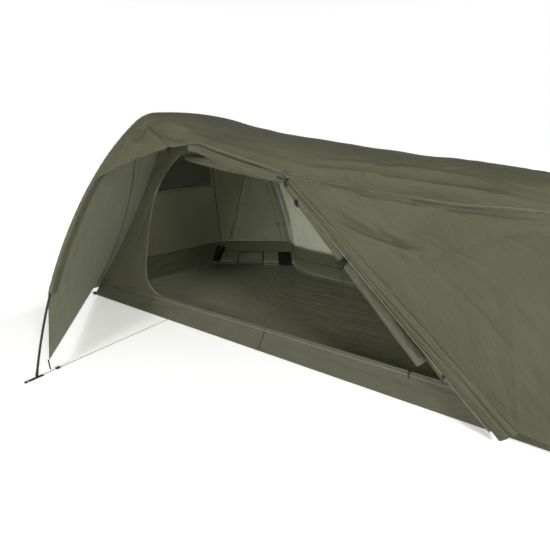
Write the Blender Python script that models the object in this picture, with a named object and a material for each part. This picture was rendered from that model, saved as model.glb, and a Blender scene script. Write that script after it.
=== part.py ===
# A light two-hoop tunnel tent, pitched, with its near fly door unzipped and rolled back.
# Metres, +Z up, +X towards the foot end, -Y the door side. Places along X are given from the main
# hoop's plane, and the last step sets the object's origin on the ground under the middle of its outline.

import math

import bmesh
import bpy
import numpy as np
from mathutils import Vector

# Room kept between two pieces that touch
CLEARANCE = 0.0003

# Main hoop: the pole's centre line, as three arcs a side that lean in from the foot
MAIN_HALF_WIDTH = 0.968
MAIN_HEIGHT = 0.992
MAIN_LEAN = 20.5
MAIN_LEG = (1.024, 41.5)
MAIN_ELBOW = (0.130, 23.5)
MAIN_CROWN_HALF = 0.342

# Foot hoop, lower and narrower, its middle a little to the far side
FOOT_X = 1.700
FOOT_HALF_WIDTH = 0.455
FOOT_HEIGHT = 0.713
FOOT_MIDDLE_Y = 0.060
FOOT_LEAN = 14.0
FOOT_LEG = (0.600, 36.0)
FOOT_ELBOW = (0.160, 34.0)
FOOT_CROWN_HALF = 0.240

# Pole tubes: each section has a spigot at one end that slides into the next section's bore
POLE_RADIUS = 0.00425
POLE_BORE = 0.0034
SPIGOT_RADIUS = 0.0029
SPIGOT_BORE = 0.0020
SPIGOT_LENGTH = 0.030
SHOCK_CORD_RADIUS = 0.0014
MAIN_LOWER_SECTION = 0.500
FOOT_LOWER_SECTION = 0.420
TIP_RADIUS = 0.0052
TIP_LENGTH = 0.022
TIP_NOSE_RADIUS = 0.0040
TIP_NOSE_LENGTH = 0.006

# Sleeves sewn to the outside of the fly, and the height where the pole comes out of them
SLEEVE_OUT = 0.0080
FLY_OUT = 0.0050
SLEEVE_IN = 0.024
SLEEVE_HALF_THICK = 0.0075
SLEEVE_BORE = 0.0052
MAIN_SLEEVE_END = 0.310
FOOT_SLEEVE_END = 0.140
SLEEVE_SEAM = 0.0001

# Cloth is drawn thicker than it is, so that it is a solid
CLOTH = 0.0020
SEAM_GAP = 0.0008
WEBBING = 0.0016

# Fly
MAIN_CORNER_INSET = 0.057
MAIN_CORNER_HEIGHT = 0.045
FOOT_CORNER_INSET = 0.030
FOOT_CORNER_HEIGHT = 0.030
ROOF_HOLLOW = 0.025
ROOF_HOLLOW_SKEW = 0.6
BACK_SHARE = 0.700
BEAK_START_SHARE = 0.233
BEAK_PEAK_SHARE = 0.328
BEAK_PEAK_X = 0.330
TIE_X = 0.730
CREASE_SHARE = 0.300
DOOR_FOOT = Vector((1.520, -0.385, 0.060))
HEAD_NEAR = Vector((-0.710, -0.310, 0.020))
HEAD_FAR = Vector((-0.600, 0.620, 0.020))
HIP_SHARE = 0.342
HIP_APEX = 0.020
HIP_HOLLOW_X = 0.035
HIP_HOLLOW_Y = 0.105
FOOT_END_REACH = 0.250
FOOT_END_INSET = 0.130
HEM_HEIGHT = 0.030
FOLD_DEPTH = 0.008

# The unzipped fly door: gathered under the roof's edge, then rolled down the slanted edge
ROLL_TOP_HALF_WIDTH = 0.011
ROLL_FOOT_HALF_WIDTH = 0.032
ROLL_HALF_DEPTH = 0.011
ROLL_GAP = 0.001
GATHER_START_X = 0.290
GATHER_HALF_HEIGHT = 0.027
GATHER_HALF_DEPTH = 0.018
ZIP_WIDTH = 0.005
ZIP_THICKNESS = 0.0016

# Inner tent: floor corners and the places where its roof hangs
FLOOR = 0.0045
FLOOR_NEAR_Y = -0.340
FLOOR_HEAD_X = -0.640
FLOOR_FOOT_X = 1.620
FLOOR_FOOT_FAR_Y = 0.440
FLOOR_HEAD_FAR = (-0.510, 0.570)
FLOOR_HOOP_FAR = (0.035, MAIN_HALF_WIDTH - 0.108)
BACK_EDGE = [(0.140, 0.755), (0.300, 0.690), (0.620, 0.648), (1.050, 0.590)]
SILL_HEIGHT = 0.115
TUB_HEIGHT = 0.200
WALL_LEAN = 0.110
WALL_TOP_DROP = 0.162
WALL_TOP = MAIN_HEIGHT - WALL_TOP_DROP
HANG_HEIGHT = WALL_TOP + 0.010
HEAD_TOP_X = -0.080
CORNER_HOLLOW = 0.035
DOOR_LEFT_TOP_X = 0.095
DOOR_TOP_RIGHT = (0.660, WALL_TOP - 0.100)
DOOR_FOOT_X = 1.300
FOOT_TOP_X = 1.550
FOOT_TOP = 0.560
FOOT_TOP_NEAR_Y = -0.180
FOOT_TOP_FAR_Y = 0.300
FOOT_TOP_RISE = 0.045
ROOF_SEAM = 0.003
RIDGE_Y = 0.040
RIDGE_DROP = 0.122
RIDGE_HEIGHT = MAIN_HEIGHT - RIDGE_DROP
SHOULDER_INSET = 0.538
SHOULDER_DROP = 0.132
FAR_SHOULDER = Vector((0.0, MAIN_HALF_WIDTH - SHOULDER_INSET, MAIN_HEIGHT - SHOULDER_DROP))
LEG_TAPE_INSET_TOP = 0.050
LEG_TAPE_INSET_FOOT = 0.100

# Inner door rolled in two arms, with two ties
TOP_ROLL_RADIUS = 0.0220
SIDE_ROLL_RADIUS = 0.0180
SIDE_ROLL_FOOT = 0.170
ROLL_SIDES = 12
TIE_THICKNESS = 0.0012
TIE_ROOM = 0.0004
UPPER_TIE = (0.120, 0.016)
LOWER_TIE = (0.400, 0.024)

# Pockets on the inside of the bathtub wall
POCKET_GAP = 0.001
POCKET_DEPTH = 0.018

# A loose tie sewn into the back wall, which hangs to the floor
WALL_TIE_RADIUS = 0.0011
WALL_TIE_X = 0.510
WALL_TIE_HEIGHT = 0.163
WALL_TIE_SWAY = 0.026
WALL_TIE_RETURN = 0.005
WALL_TIE_STEPS = 30

# Zip sliders and their pulls
SLIDER_LENGTH = 0.010
SLIDER_WALL = 0.0014
SLIDER_ROOM = 0.0005
LUG_HALF = 0.0012
FLY_LUG = 0.0010
SILL_LUG = 0.0024
PULL_WIDTH = 0.005
PULL_THICKNESS = 0.0016
PULL_LENGTH = 0.026
PULL_TOP = 0.0008
FLY_SLIDER_SHARE = 0.800
SILL_SLIDER_X = 1.200

# Strap and clip that the inner tent hangs from
HANG_DEPTH = 0.010

# Ground line, loops and buckle
BASE_CORD_RADIUS = 0.0012
ADJUSTER_LENGTH = 0.014
ADJUSTER_WIDTH = 0.012
ADJUSTER_ROOF = 0.0035
ADJUSTER_INSET = 0.022
LOOP_LENGTH = 0.060
LOOP_WIDTH = 0.015
LOOP_DROP = 0.018
PEG_HOLE = (0.017, 0.022, 0.008)
STRAP_LENGTH = 0.066
STRAP_OUTSIDE = 0.042
BUCKLE_LENGTH = 0.026
BUCKLE_SEAT = 0.0030
BUCKLE_WIDTH = 0.018
BUCKLE_HEIGHT = 0.009
TONGUE_INSIDE = 0.014
TONGUE_OUTSIDE = 0.012

SPINE_START = 0.100
SPINE_END = 1.350
SPINE_HEIGHT = 0.300


def start_scene():
    for obj in list(bpy.data.objects):
        bpy.data.objects.remove(obj)
    tent = bpy.data.objects.new("tent", None)
    bpy.context.scene.collection.objects.link(tent)
    return tent


def make_material(name, colour, roughness, metallic=0.0):
    material = bpy.data.materials.new(name)
    material.use_nodes = True
    shader = material.node_tree.nodes["Principled BSDF"]
    shader.inputs["Base Color"].default_value = (*colour, 1.0)
    shader.inputs["Roughness"].default_value = roughness
    shader.inputs["Metallic"].default_value = metallic
    material.diffuse_color = (*colour, 1.0)
    return material


def add_object(name, points, faces, material, parent, origin=(0, 0, 0), smooth=True):
    """One closed body from its points and faces, with its faces turned outwards."""
    mesh = bpy.data.meshes.new(name)
    shift = Vector(origin)
    shape = bmesh.new()
    corners = [shape.verts.new(Vector(p) - shift) for p in points]
    for face in faces:
        shape.faces.new([corners[k] for k in face])
    bmesh.ops.recalc_face_normals(shape, faces=shape.faces)
    shape.to_mesh(mesh)
    shape.free()
    mesh.materials.append(material)
    if smooth:
        mesh.shade_smooth()
        mesh.set_sharp_from_angle(angle=math.radians(40))
    obj = bpy.data.objects.new(name, mesh)
    bpy.context.scene.collection.objects.link(obj)
    obj.location = shift
    obj.parent = parent
    return obj


# Hoops


class Hoop:
    """A bent pole in an upright plane at x, with points and outward directions by share of its length."""

    def __init__(self, x, half_width, height, middle_y, lean, leg, elbow, crown_half, steps):
        crown = (crown_half, 90.0 - lean - leg[1] - elbow[1])
        rows = [(0.0, 0.0, 0.0)]
        angle = math.radians(lean)
        run = inward = up = 0.0
        for (length, degrees), count in zip((leg, elbow, crown), steps):
            turn = math.radians(degrees)
            radius = length / turn
            for k in range(1, count + 1):
                a = angle + turn * k / count
                rows.append((
                    run + length * k / count,
                    inward + radius * (math.cos(angle) - math.cos(a)),
                    up + radius * (math.sin(a) - math.sin(angle)),
                ))
            run, inward, up = rows[-1]
            angle += turn
        half = np.array(rows)
        share = half[:, 0] / (2 * run)
        y = half_width * (1 - half[:, 1] / inward)
        z = height * half[:, 2] / up
        self.x = x
        self.middle_y = middle_y
        self.share = np.concatenate([share, 1 - share[-2::-1]])
        self.y = np.concatenate([-y, y[-2::-1]]) + middle_y
        self.z = np.concatenate([z, z[-2::-1]])
        along = np.stack([np.gradient(self.y), np.gradient(self.z)], 1)
        along /= np.linalg.norm(along, axis=1)[:, None]
        self.out_y = -along[:, 1]
        self.out_z = along[:, 0]
        self.length = float(np.hypot(np.diff(self.y), np.diff(self.z)).sum())

    def at(self, share, offset=0.0, x=None):
        y = np.interp(share, self.share, self.y + offset * self.out_y)
        z = np.interp(share, self.share, self.z + offset * self.out_z)
        return Vector((self.x if x is None else x, y, z))

    def out(self, share):
        y = np.interp(share, self.share, self.out_y)
        z = np.interp(share, self.share, self.out_z)
        return Vector((0, y, z)).normalized()

    def share_at_height(self, height):
        """Share of the near leg at this height."""
        top = len(self.share) // 2
        return float(np.interp(height, self.z[:top], self.share[:top]))

    def between(self, start, end):
        """Shares from start to end, with the bends of the pole's line in between."""
        inside = self.share[(self.share > start + 1e-4) & (self.share < end - 1e-4)]
        return [start, *inside.tolist(), end]


def circle(radius, sides):
    angles = [2 * math.pi * (k + 0.5) / sides for k in range(sides)]
    return [(radius * math.cos(a), radius * math.sin(a)) for a in angles]


def hoop_tube(name, hoop, rows, material, parent):
    """A hollow body along a hoop. Each row is a share, an outer outline and an inner one, (x, outward)."""
    points = []
    for share, outer, inner in rows:
        centre = hoop.at(share)
        out = hoop.out(share)
        for outline in (outer, inner):
            points += [centre + Vector((x, 0, 0)) + out * r for x, r in outline]
    sides = len(rows[0][1])
    ring = 2 * sides
    faces = []
    for k in range(len(rows) - 1):
        for layer in (0, sides):
            for j in range(sides):
                a = k * ring + layer + j
                b = k * ring + layer + (j + 1) % sides
                faces.append((a, b, b + ring, a + ring))
    for base in (0, (len(rows) - 1) * ring):
        for j in range(sides):
            a = base + j
            b = base + (j + 1) % sides
            faces.append((a, b, b + sides, a + sides))
    return add_object(name, points, faces, material, parent)


def pole_section(name, hoop, start, end, material, parent, spigot=True):
    """A tube from start to end. Its spigot reaches on into the next section, a clearance further on."""
    sides = 8
    tube = circle(POLE_RADIUS, sides)
    bore = circle(POLE_BORE, sides)
    inner = circle(SPIGOT_RADIUS, sides)
    hole = circle(SPIGOT_BORE, sides)
    step = SPIGOT_LENGTH / hoop.length
    if not spigot:
        rows = [(s, tube, bore) for s in hoop.between(start, end)]
        return hoop_tube(name, hoop, rows, material, parent)
    rows = [(s, tube, bore) for s in hoop.between(start, end - step)]
    rows += [(s, tube, hole) for s in hoop.between(end - step, end)]
    rows += [(s, inner, hole) for s in hoop.between(end, end + step)]
    return hoop_tube(name, hoop, rows, material, parent)


def pole_tip(name, hoop, near, material, parent):
    """A plug in the pole's lower end with a collar and a nose that stands on the ground."""
    sides = 8
    length = hoop.length
    stem = (TIP_LENGTH + SPIGOT_LENGTH) / length
    collar = TIP_LENGTH / length
    profile = [
        (0.0, TIP_NOSE_RADIUS),
        (TIP_NOSE_LENGTH / length, TIP_NOSE_RADIUS),
        (TIP_NOSE_LENGTH / length * 1.4, TIP_RADIUS),
        (collar - CLEARANCE / length, TIP_RADIUS),
        (collar - CLEARANCE / length, SPIGOT_RADIUS),
        (stem, SPIGOT_RADIUS),
    ]
    points = []
    for share, radius in profile:
        place = share if near else 1 - share
        centre = hoop.at(place)
        out = hoop.out(place)
        for x, r in circle(radius, sides):
            p = centre + Vector((x, 0, 0)) + out * r
            p.z = max(p.z, 0.0)
            points.append(p)
    faces = []
    for k in range(len(profile) - 1):
        for j in range(sides):
            a = k * sides + j
            b = k * sides + (j + 1) % sides
            faces.append((a, b, b + sides, a + sides))
    faces.append(tuple(range(sides)))
    faces.append(tuple(range(len(points) - sides, len(points))))
    return add_object(name, points, faces, material, parent)


def make_sleeve(name, hoop, end_height, material, parent):
    """The fly's sleeve: snug round the pole outside, drawn to a flat seam on the inside."""
    start = hoop.share_at_height(end_height)
    half = SLEEVE_HALF_THICK
    outer = [
        (half * 0.55, SLEEVE_OUT),
        (-half * 0.55, SLEEVE_OUT),
        (-half, FLY_OUT + CLEARANCE),
        (-half, -FLY_OUT),
        (-half * 0.3, -SLEEVE_IN),
        (half * 0.3, -SLEEVE_IN),
        (half, -FLY_OUT),
        (half, FLY_OUT + CLEARANCE),
    ]
    angles = [68, 112, 155, 205, 248, 292, 335, 25]
    inner = [
        (SLEEVE_BORE * math.cos(math.radians(a)), SLEEVE_BORE * math.sin(math.radians(a)))
        for a in angles
    ]
    rows = [(s, outer, inner) for s in hoop.between(start, 1 - start)]
    return hoop_tube(name, hoop, rows, material, parent)


# Cloth


def inward(point, spine=(SPINE_START, SPINE_END)):
    """The way cloth gets its thickness: towards the tent's middle line, the same for panels that meet."""
    x = min(max(point.x, spine[0]), spine[1])
    middle = FOOT_MIDDLE_Y * max(x, 0.0) / FOOT_X
    return (Vector((x, middle, SPINE_HEIGHT)) - point).normalized()


def surface_grid(surface, rows, columns, gap=SEAM_GAP):
    """Points of a surface, each edge drawn in by half of the seam's gap."""
    grid = [[surface(i / rows, j / columns) for j in range(columns + 1)] for i in range(rows + 1)]
    for line in grid:
        first = (line[1] - line[0]).normalized() * (gap / 2)
        last = (line[-2] - line[-1]).normalized() * (gap / 2)
        line[0] = line[0] + first
        line[-1] = line[-1] + last
    for j in range(columns + 1):
        first = (grid[1][j] - grid[0][j]).normalized() * (gap / 2)
        last = (grid[-2][j] - grid[-1][j]).normalized() * (gap / 2)
        grid[0][j] = grid[0][j] + first
        grid[-1][j] = grid[-1][j] + last
    return grid


def make_cloth(name, surface, rows, columns, material, parent, spine=(SPINE_START, SPINE_END)):
    """A sheet over the surface(a, b), 0 to 1 each way, with its thickness on the inner side."""
    grid = surface_grid(surface, rows, columns)
    outer = [p for line in grid for p in line]
    points = outer + [p + inward(p, spine) * CLOTH for p in outer]
    width = columns + 1
    count = len(outer)
    faces = []
    for i in range(rows):
        for j in range(columns):
            a = i * width + j
            b, c, d = a + 1, a + width + 1, a + width
            if (outer[a] - outer[c]).length < (outer[b] - outer[d]).length:
                halves = [(a, b, c), (a, c, d)]
            else:
                halves = [(a, b, d), (b, c, d)]
            for half in halves:
                faces.append(half)
                faces.append(tuple(k + count for k in reversed(half)))
    rim = [j for j in range(columns)]
    rim += [i * width + columns for i in range(rows)]
    rim += [rows * width + j for j in range(columns, 0, -1)]
    rim += [i * width for i in range(rows, 0, -1)]
    for k, a in enumerate(rim):
        b = rim[(k + 1) % len(rim)]
        faces.append((a, b, b + count, a + count))
    return add_object(name, points, faces, material, parent)


def coons(foot, top, left, right):
    """A surface between four edges. foot and top run along b, left and right run along a."""
    corner_00, corner_01 = foot(0.0), foot(1.0)
    corner_10, corner_11 = top(0.0), top(1.0)

    def surface(a, b):
        ruled = foot(b) * (1 - a) + top(b) * a + left(a) * (1 - b) + right(a) * b
        near = corner_00 * (1 - b) + corner_01 * b
        far = corner_10 * (1 - b) + corner_11 * b
        return ruled - near * (1 - a) - far * a

    return surface


def straight(start, end):
    return lambda t: start.lerp(end, t)


def hollowed(start, end, offset):
    """A line from start to end that is drawn aside by offset at its middle."""
    return lambda t: start.lerp(end, t) + offset * (4 * t * (1 - t))


def bump(value, centre, width):
    return math.exp(-(((value - centre) / width) ** 2))


# Fly


def fly_line(hoop, corner_y, corner_z, sleeve_end):
    """The fly's edge on a hoop: along the sleeved pole, and straight from the sleeve down to the corner."""
    start = hoop.share_at_height(sleeve_end)

    def line(share, x):
        mirrored = min(share, 1 - share)
        if mirrored >= start:
            return hoop.at(share, FLY_OUT, x)
        side = -1 if share < 0.5 else 1
        corner = Vector((x, hoop.middle_y + side * corner_y, corner_z))
        end = hoop.at(start if share < 0.5 else 1 - start, FLY_OUT, x)
        return corner.lerp(end, mirrored / start)

    return line


def make_fly_surface(main_line, foot_line):
    """Loft from hoop to hoop, hollow between them and most so nearer the main hoop."""
    start = SLEEVE_HALF_THICK + SLEEVE_SEAM
    end = FOOT_X - SLEEVE_HALF_THICK - SLEEVE_SEAM

    def surface(x, share):
        u = min(max(x / FOOT_X, 0.0), 1.0)
        p = main_line(share, x).lerp(foot_line(share, x), u)
        hollow = ROOF_HOLLOW * 4 * u * (1 - u) * (1 + ROOF_HOLLOW_SKEW * (1 - 2 * u))
        middle = u * FOOT_MIDDLE_Y
        low = hollow * min(1.0, p.z / TUB_HEIGHT)
        return Vector((min(max(x, start), end), middle + (p.y - middle) * (1 - low), p.z * (1 - low)))

    return surface


def near_share(x):
    """Share of the fly's near edge: up the beak from the leg, down to the tie, then along the crease."""
    if x < BEAK_PEAK_X:
        rise = 1 - (1 - x / BEAK_PEAK_X) ** 1.5
        return BEAK_START_SHARE + (BEAK_PEAK_SHARE - BEAK_START_SHARE) * rise
    fall = min((x - BEAK_PEAK_X) / (TIE_X - BEAK_PEAK_X), 1.0)
    return BEAK_PEAK_SHARE + (CREASE_SHARE - BEAK_PEAK_SHARE) * fall


def add_fly(fly, foot_line, material, parent):
    """The panels between the hoops."""
    first = SLEEVE_HALF_THICK + SLEEVE_SEAM
    last = FOOT_X - first

    def roof(a, b):
        x = first + (last - first) * a
        low = near_share(x)
        return fly(x, low + (BACK_SHARE - low) * b)

    def back(a, b):
        return fly(first + (last - first) * a, BACK_SHARE + (1 - BACK_SHARE) * b)

    tie = fly(TIE_X, CREASE_SHARE)
    foot_edge = foot_line
    corner = foot_edge(0.0, last)
    edges = coons(
        lambda b: fly(TIE_X + (last - TIE_X) * b, near_share(TIE_X + (last - TIE_X) * b)),
        straight(DOOR_FOOT, corner),
        straight(tie, DOOR_FOOT),
        lambda a: foot_edge(CREASE_SHARE * (1 - a), last),
    )

    def near_panel(a, b):
        spread = 16 * a * (1 - a) * b * (1 - b)
        folds = bump(a, 0.16 + 0.05 * b, 0.07) - 0.7 * bump(a, 0.42, 0.10)
        return edges(a, b) + Vector((0, FOLD_DEPTH * spread * folds, 0))

    make_cloth("fly_roof", roof, 26, 12, material, parent)
    make_cloth("fly_back", back, 20, 7, material, parent)
    make_cloth("fly_near_panel", near_panel, 16, 12, material, parent)
    return tie


def add_head_end(main_line, material, parent):
    """The short hip at the head end: an end panel between two curved seams, and a panel each side."""
    x = -SLEEVE_HALF_THICK - SLEEVE_SEAM

    def seam(corner, side):
        share = HIP_SHARE if side < 0 else 1 - HIP_SHARE
        aside = Vector((-HIP_HOLLOW_X, -side * HIP_HOLLOW_Y, 0))
        return hollowed(corner, main_line(share, x), aside)

    near_seam = seam(HEAD_NEAR, -1)
    far_seam = seam(HEAD_FAR, 1)
    end_panel = coons(
        straight(HEAD_NEAR, HEAD_FAR),
        lambda b: main_line(HIP_SHARE + (1 - 2 * HIP_SHARE) * b, x),
        near_seam,
        far_seam,
    )
    spine = (x, SPINE_END)
    make_cloth("head_end_panel", end_panel, 14, 12, material, parent, spine)
    reach = HIP_SHARE - HIP_APEX
    near_hip = coons(
        straight(main_line(0.0, x), HEAD_NEAR),
        lambda b: main_line(reach + HIP_APEX * b, x),
        lambda a: main_line(reach * a, x),
        near_seam,
    )
    far_hip = coons(
        straight(main_line(1.0, x), HEAD_FAR),
        lambda b: main_line(1 - reach - HIP_APEX * b, x),
        lambda a: main_line(1 - reach * a, x),
        far_seam,
    )
    make_cloth("head_hip_near", near_hip, 14, 8, material, parent, spine)
    make_cloth("head_hip_far", far_hip, 14, 8, material, parent, spine)


def foot_corners(foot_line):
    """Ground corners of the foot end, near and far."""
    x = FOOT_X + FOOT_END_REACH
    near = foot_line(0.0, x)
    far = foot_line(1.0, x)
    return (
        Vector((x, near.y + FOOT_END_INSET, HEM_HEIGHT)),
        Vector((x, far.y - FOOT_END_INSET, HEM_HEIGHT)),
    )


def add_foot_end(foot_line, material, parent):
    """One panel round the foot end, from the foot hoop down to its hem."""
    x = FOOT_X + SLEEVE_HALF_THICK + SLEEVE_SEAM
    near, far = foot_corners(foot_line)
    start = foot_line(0.0, x).lerp(near, 0.1)
    end = foot_line(1.0, x).lerp(far, 0.1)

    def hem(b):
        if b < 0.25:
            return start.lerp(near, b * 4)
        if b < 0.75:
            return near.lerp(far, (b - 0.25) * 2)
        return far.lerp(end, (b - 0.75) * 4)

    def panel(a, b):
        return foot_line(b, x).lerp(hem(b), a)

    make_cloth("foot_end_panel", panel, 6, 24, material, parent, (SPINE_START, x))


def door_frame(tie):
    """Unit directions of the slanted door edge: down along it, across towards the opening, and outwards."""
    along = (DOOR_FOOT - tie).normalized()
    across = along.cross(Vector((0, -1, 0))).normalized()
    outwards = across.cross(along).normalized()
    if outwards.y > 0:
        outwards = -outwards
    return along, across, outwards


def sweep(name, centres, rings, material, parent, origin=(0, 0, 0)):
    """A closed body through rings of points given about each centre."""
    sides = len(rings[0])
    points = [centre + p for centre, ring in zip(centres, rings) for p in ring]
    faces = []
    for k in range(len(centres) - 1):
        for j in range(sides):
            a = k * sides + j
            b = k * sides + (j + 1) % sides
            faces.append((a, b, b + sides, a + sides))
    faces.append(tuple(range(sides)))
    faces.append(tuple(range(len(points) - sides, len(points))))
    return add_object(name, points, faces, material, parent, origin)


def roll_half_width(share):
    return ROLL_TOP_HALF_WIDTH + (ROLL_FOOT_HALF_WIDTH - ROLL_TOP_HALF_WIDTH) * share


def add_door_roll(tie, material, parent):
    """The fly door folded and rolled along its slanted edge, with two folds that wander along it."""
    along, across, outwards = door_frame(tie)
    run = DOOR_FOOT - tie
    sides, steps = 16, 22
    centres, rings = [], []
    for k in range(steps + 1):
        share = 0.015 + 0.985 * k / steps
        half = roll_half_width(share)
        centres.append(tie + run * share + across * (half + ROLL_GAP))
        ring = []
        for j in range(sides):
            angle = 2 * math.pi * j / sides
            valley = bump(math.cos(angle), 0.25 * math.sin(5 * share), 0.22)
            fold = 1 - 0.26 * max(0.0, math.sin(angle)) * valley
            flat = math.copysign(abs(math.sin(angle)) ** 0.8, math.sin(angle))
            ring.append(across * (half * math.cos(angle)) + outwards * (ROLL_HALF_DEPTH * flat * fold))
        rings.append(ring)
    return sweep("fly_door_roll", centres, rings, material, parent)


def add_door_gather(fly, material, parent):
    """The door's upper part, bunched in folds that hang under the roof's edge as far as the tie."""
    sides, steps = 18, 22
    centres, rings = [], []
    for k in range(steps + 1):
        share = k / steps
        x = GATHER_START_X + (TIE_X - 0.012 - GATHER_START_X) * share
        edge = fly(x, near_share(x))
        swell = 0.28 + 0.68 * math.sin(math.pi * (0.08 + 0.84 * share)) ** 0.7
        high = GATHER_HALF_HEIGHT * swell
        deep = GATHER_HALF_DEPTH * swell
        drop = high + CLOTH / 2 + CLEARANCE
        centres.append(edge + Vector((0, deep * 0.35, -drop)))
        ring = []
        for j in range(sides):
            angle = 2 * math.pi * j / sides
            pleat = 1 - 0.12 * (1 - math.cos(4 * angle + 3 * share * math.cos(angle))) / 2
            ring.append(Vector((0, -deep * math.cos(angle) * pleat, high * math.sin(angle) * pleat)))
        rings.append(ring)
    return sweep("fly_door_gather", centres, rings, material, parent)


def bar(name, start, end, width_axis, width, depth_axis, depth, material, parent, origin=(0, 0, 0)):
    """A straight strip of rectangular section."""
    ring = [
        width_axis * (sx * width / 2) + depth_axis * (sy * depth / 2)
        for sx, sy in ((-1, -1), (1, -1), (1, 1), (-1, 1))
    ]
    return sweep(name, [start, end], [ring, ring], material, parent, origin)


def zip_line(tie):
    """Ends of the fly zip, along the free side of the rolled door."""
    _, across, _ = door_frame(tie)
    run = DOOR_FOOT - tie
    ends = []
    for share in (0.03, 0.97):
        offset = 2 * roll_half_width(share) + ROLL_GAP + CLEARANCE + ZIP_WIDTH / 2
        ends.append(tie + run * share + across * offset)
    return ends


def extrude_outline(name, outline, axis_u, axis_v, depth, place, material, parent, origin=None):
    """A flat outline of (u, v) points about place, extruded by depth, half to each side."""
    normal = axis_u.cross(axis_v).normalized()
    flat = [place + axis_u * u + axis_v * v for u, v in outline]
    points = [p - normal * (depth / 2) for p in flat] + [p + normal * (depth / 2) for p in flat]
    count = len(flat)
    faces = [tuple(range(count)), tuple(range(2 * count - 1, count - 1, -1))]
    for k in range(count):
        j = (k + 1) % count
        faces.append((k, j, j + count, k + count))
    start = place if origin is None else origin
    return add_object(name, points, faces, material, parent, start, smooth=False)


def slider_outline(strip_width, strip_depth, lug):
    """Section of a zip slider that laps over the strip from its free side, with a lug for the pull.

    u runs across the strip and v outwards.
    """
    room = SLIDER_ROOM
    inner = strip_depth / 2 + room
    outer = inner + SLIDER_WALL
    free = strip_width / 2 + room
    back = free + SLIDER_WALL
    open_side = -strip_width / 2 + room
    return [
        (open_side, inner),
        (free, inner),
        (free, -inner),
        (open_side, -inner),
        (open_side, -outer),
        (back, -outer),
        (back, outer),
        (LUG_HALF, outer),
        (LUG_HALF, outer + lug),
        (-LUG_HALF, outer + lug),
        (-LUG_HALF, outer),
        (open_side, outer),
    ]


def make_pull(name, hinge, material, parent):
    """A flat pull that hangs straight down from its hinge, which runs along X."""
    half = PULL_WIDTH / 2
    outline = [
        (-half * 0.6, PULL_TOP),
        (half * 0.6, PULL_TOP),
        (half, -0.003),
        (half, -PULL_LENGTH + 0.002),
        (half * 0.5, -PULL_LENGTH),
        (-half * 0.5, -PULL_LENGTH),
        (-half, -PULL_LENGTH + 0.002),
        (-half, -0.003),
    ]
    return extrude_outline(
        name, outline, Vector((1, 0, 0)), Vector((0, 0, 1)), PULL_THICKNESS, hinge, material, parent
    )


def add_fly_zip(tie, cloth, plastic, parent):
    """The zip along the rolled door, its slider, and the pull that hangs from the slider's face."""
    along, across, outwards = door_frame(tie)
    top, bottom = zip_line(tie)
    across_zip = (bottom - top).normalized().cross(outwards).normalized()
    if across_zip.dot(across) < 0:
        across_zip = -across_zip
    bar("fly_zip", top, bottom, across_zip, ZIP_WIDTH, outwards, ZIP_THICKNESS, cloth, parent)
    place = top.lerp(bottom, FLY_SLIDER_SHARE)
    outline = slider_outline(ZIP_WIDTH, ZIP_THICKNESS, FLY_LUG)
    extrude_outline("fly_slider", outline, across_zip, outwards, SLIDER_LENGTH, place, plastic, parent)
    face = ZIP_THICKNESS / 2 + SLIDER_ROOM + SLIDER_WALL + FLY_LUG
    hinge = place + outwards * (face + 2 * CLEARANCE + PULL_THICKNESS / 2)
    make_pull("fly_pull", hinge, plastic, parent)
    return place, hinge, (top - bottom).normalized()


# Inner tent


def wall_y(z):
    """The near wall leans in from the floor's near edge."""
    return FLOOR_NEAR_Y + WALL_LEAN * z / HANG_HEIGHT


def wall_point(x, z):
    return Vector((x, wall_y(z), z))


def roof_near_edge(x):
    """The seam between the near wall and the roof, as far as the door's top corner."""
    slope = (DOOR_TOP_RIGHT[1] - WALL_TOP) / DOOR_TOP_RIGHT[0]
    return wall_point(x, WALL_TOP + slope * max(x, 0.0))


def polyline(points):
    """A function of 0 to 1 along the points, by length."""
    points = [Vector(p) for p in points]
    steps = [0.0]
    for a, b in zip(points, points[1:]):
        steps.append(steps[-1] + (b - a).length)
    table = np.array(steps) / steps[-1]
    coordinates = np.array(points)

    def at(t):
        return Vector([float(np.interp(t, table, coordinates[:, k])) for k in range(3)])

    return at


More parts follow.
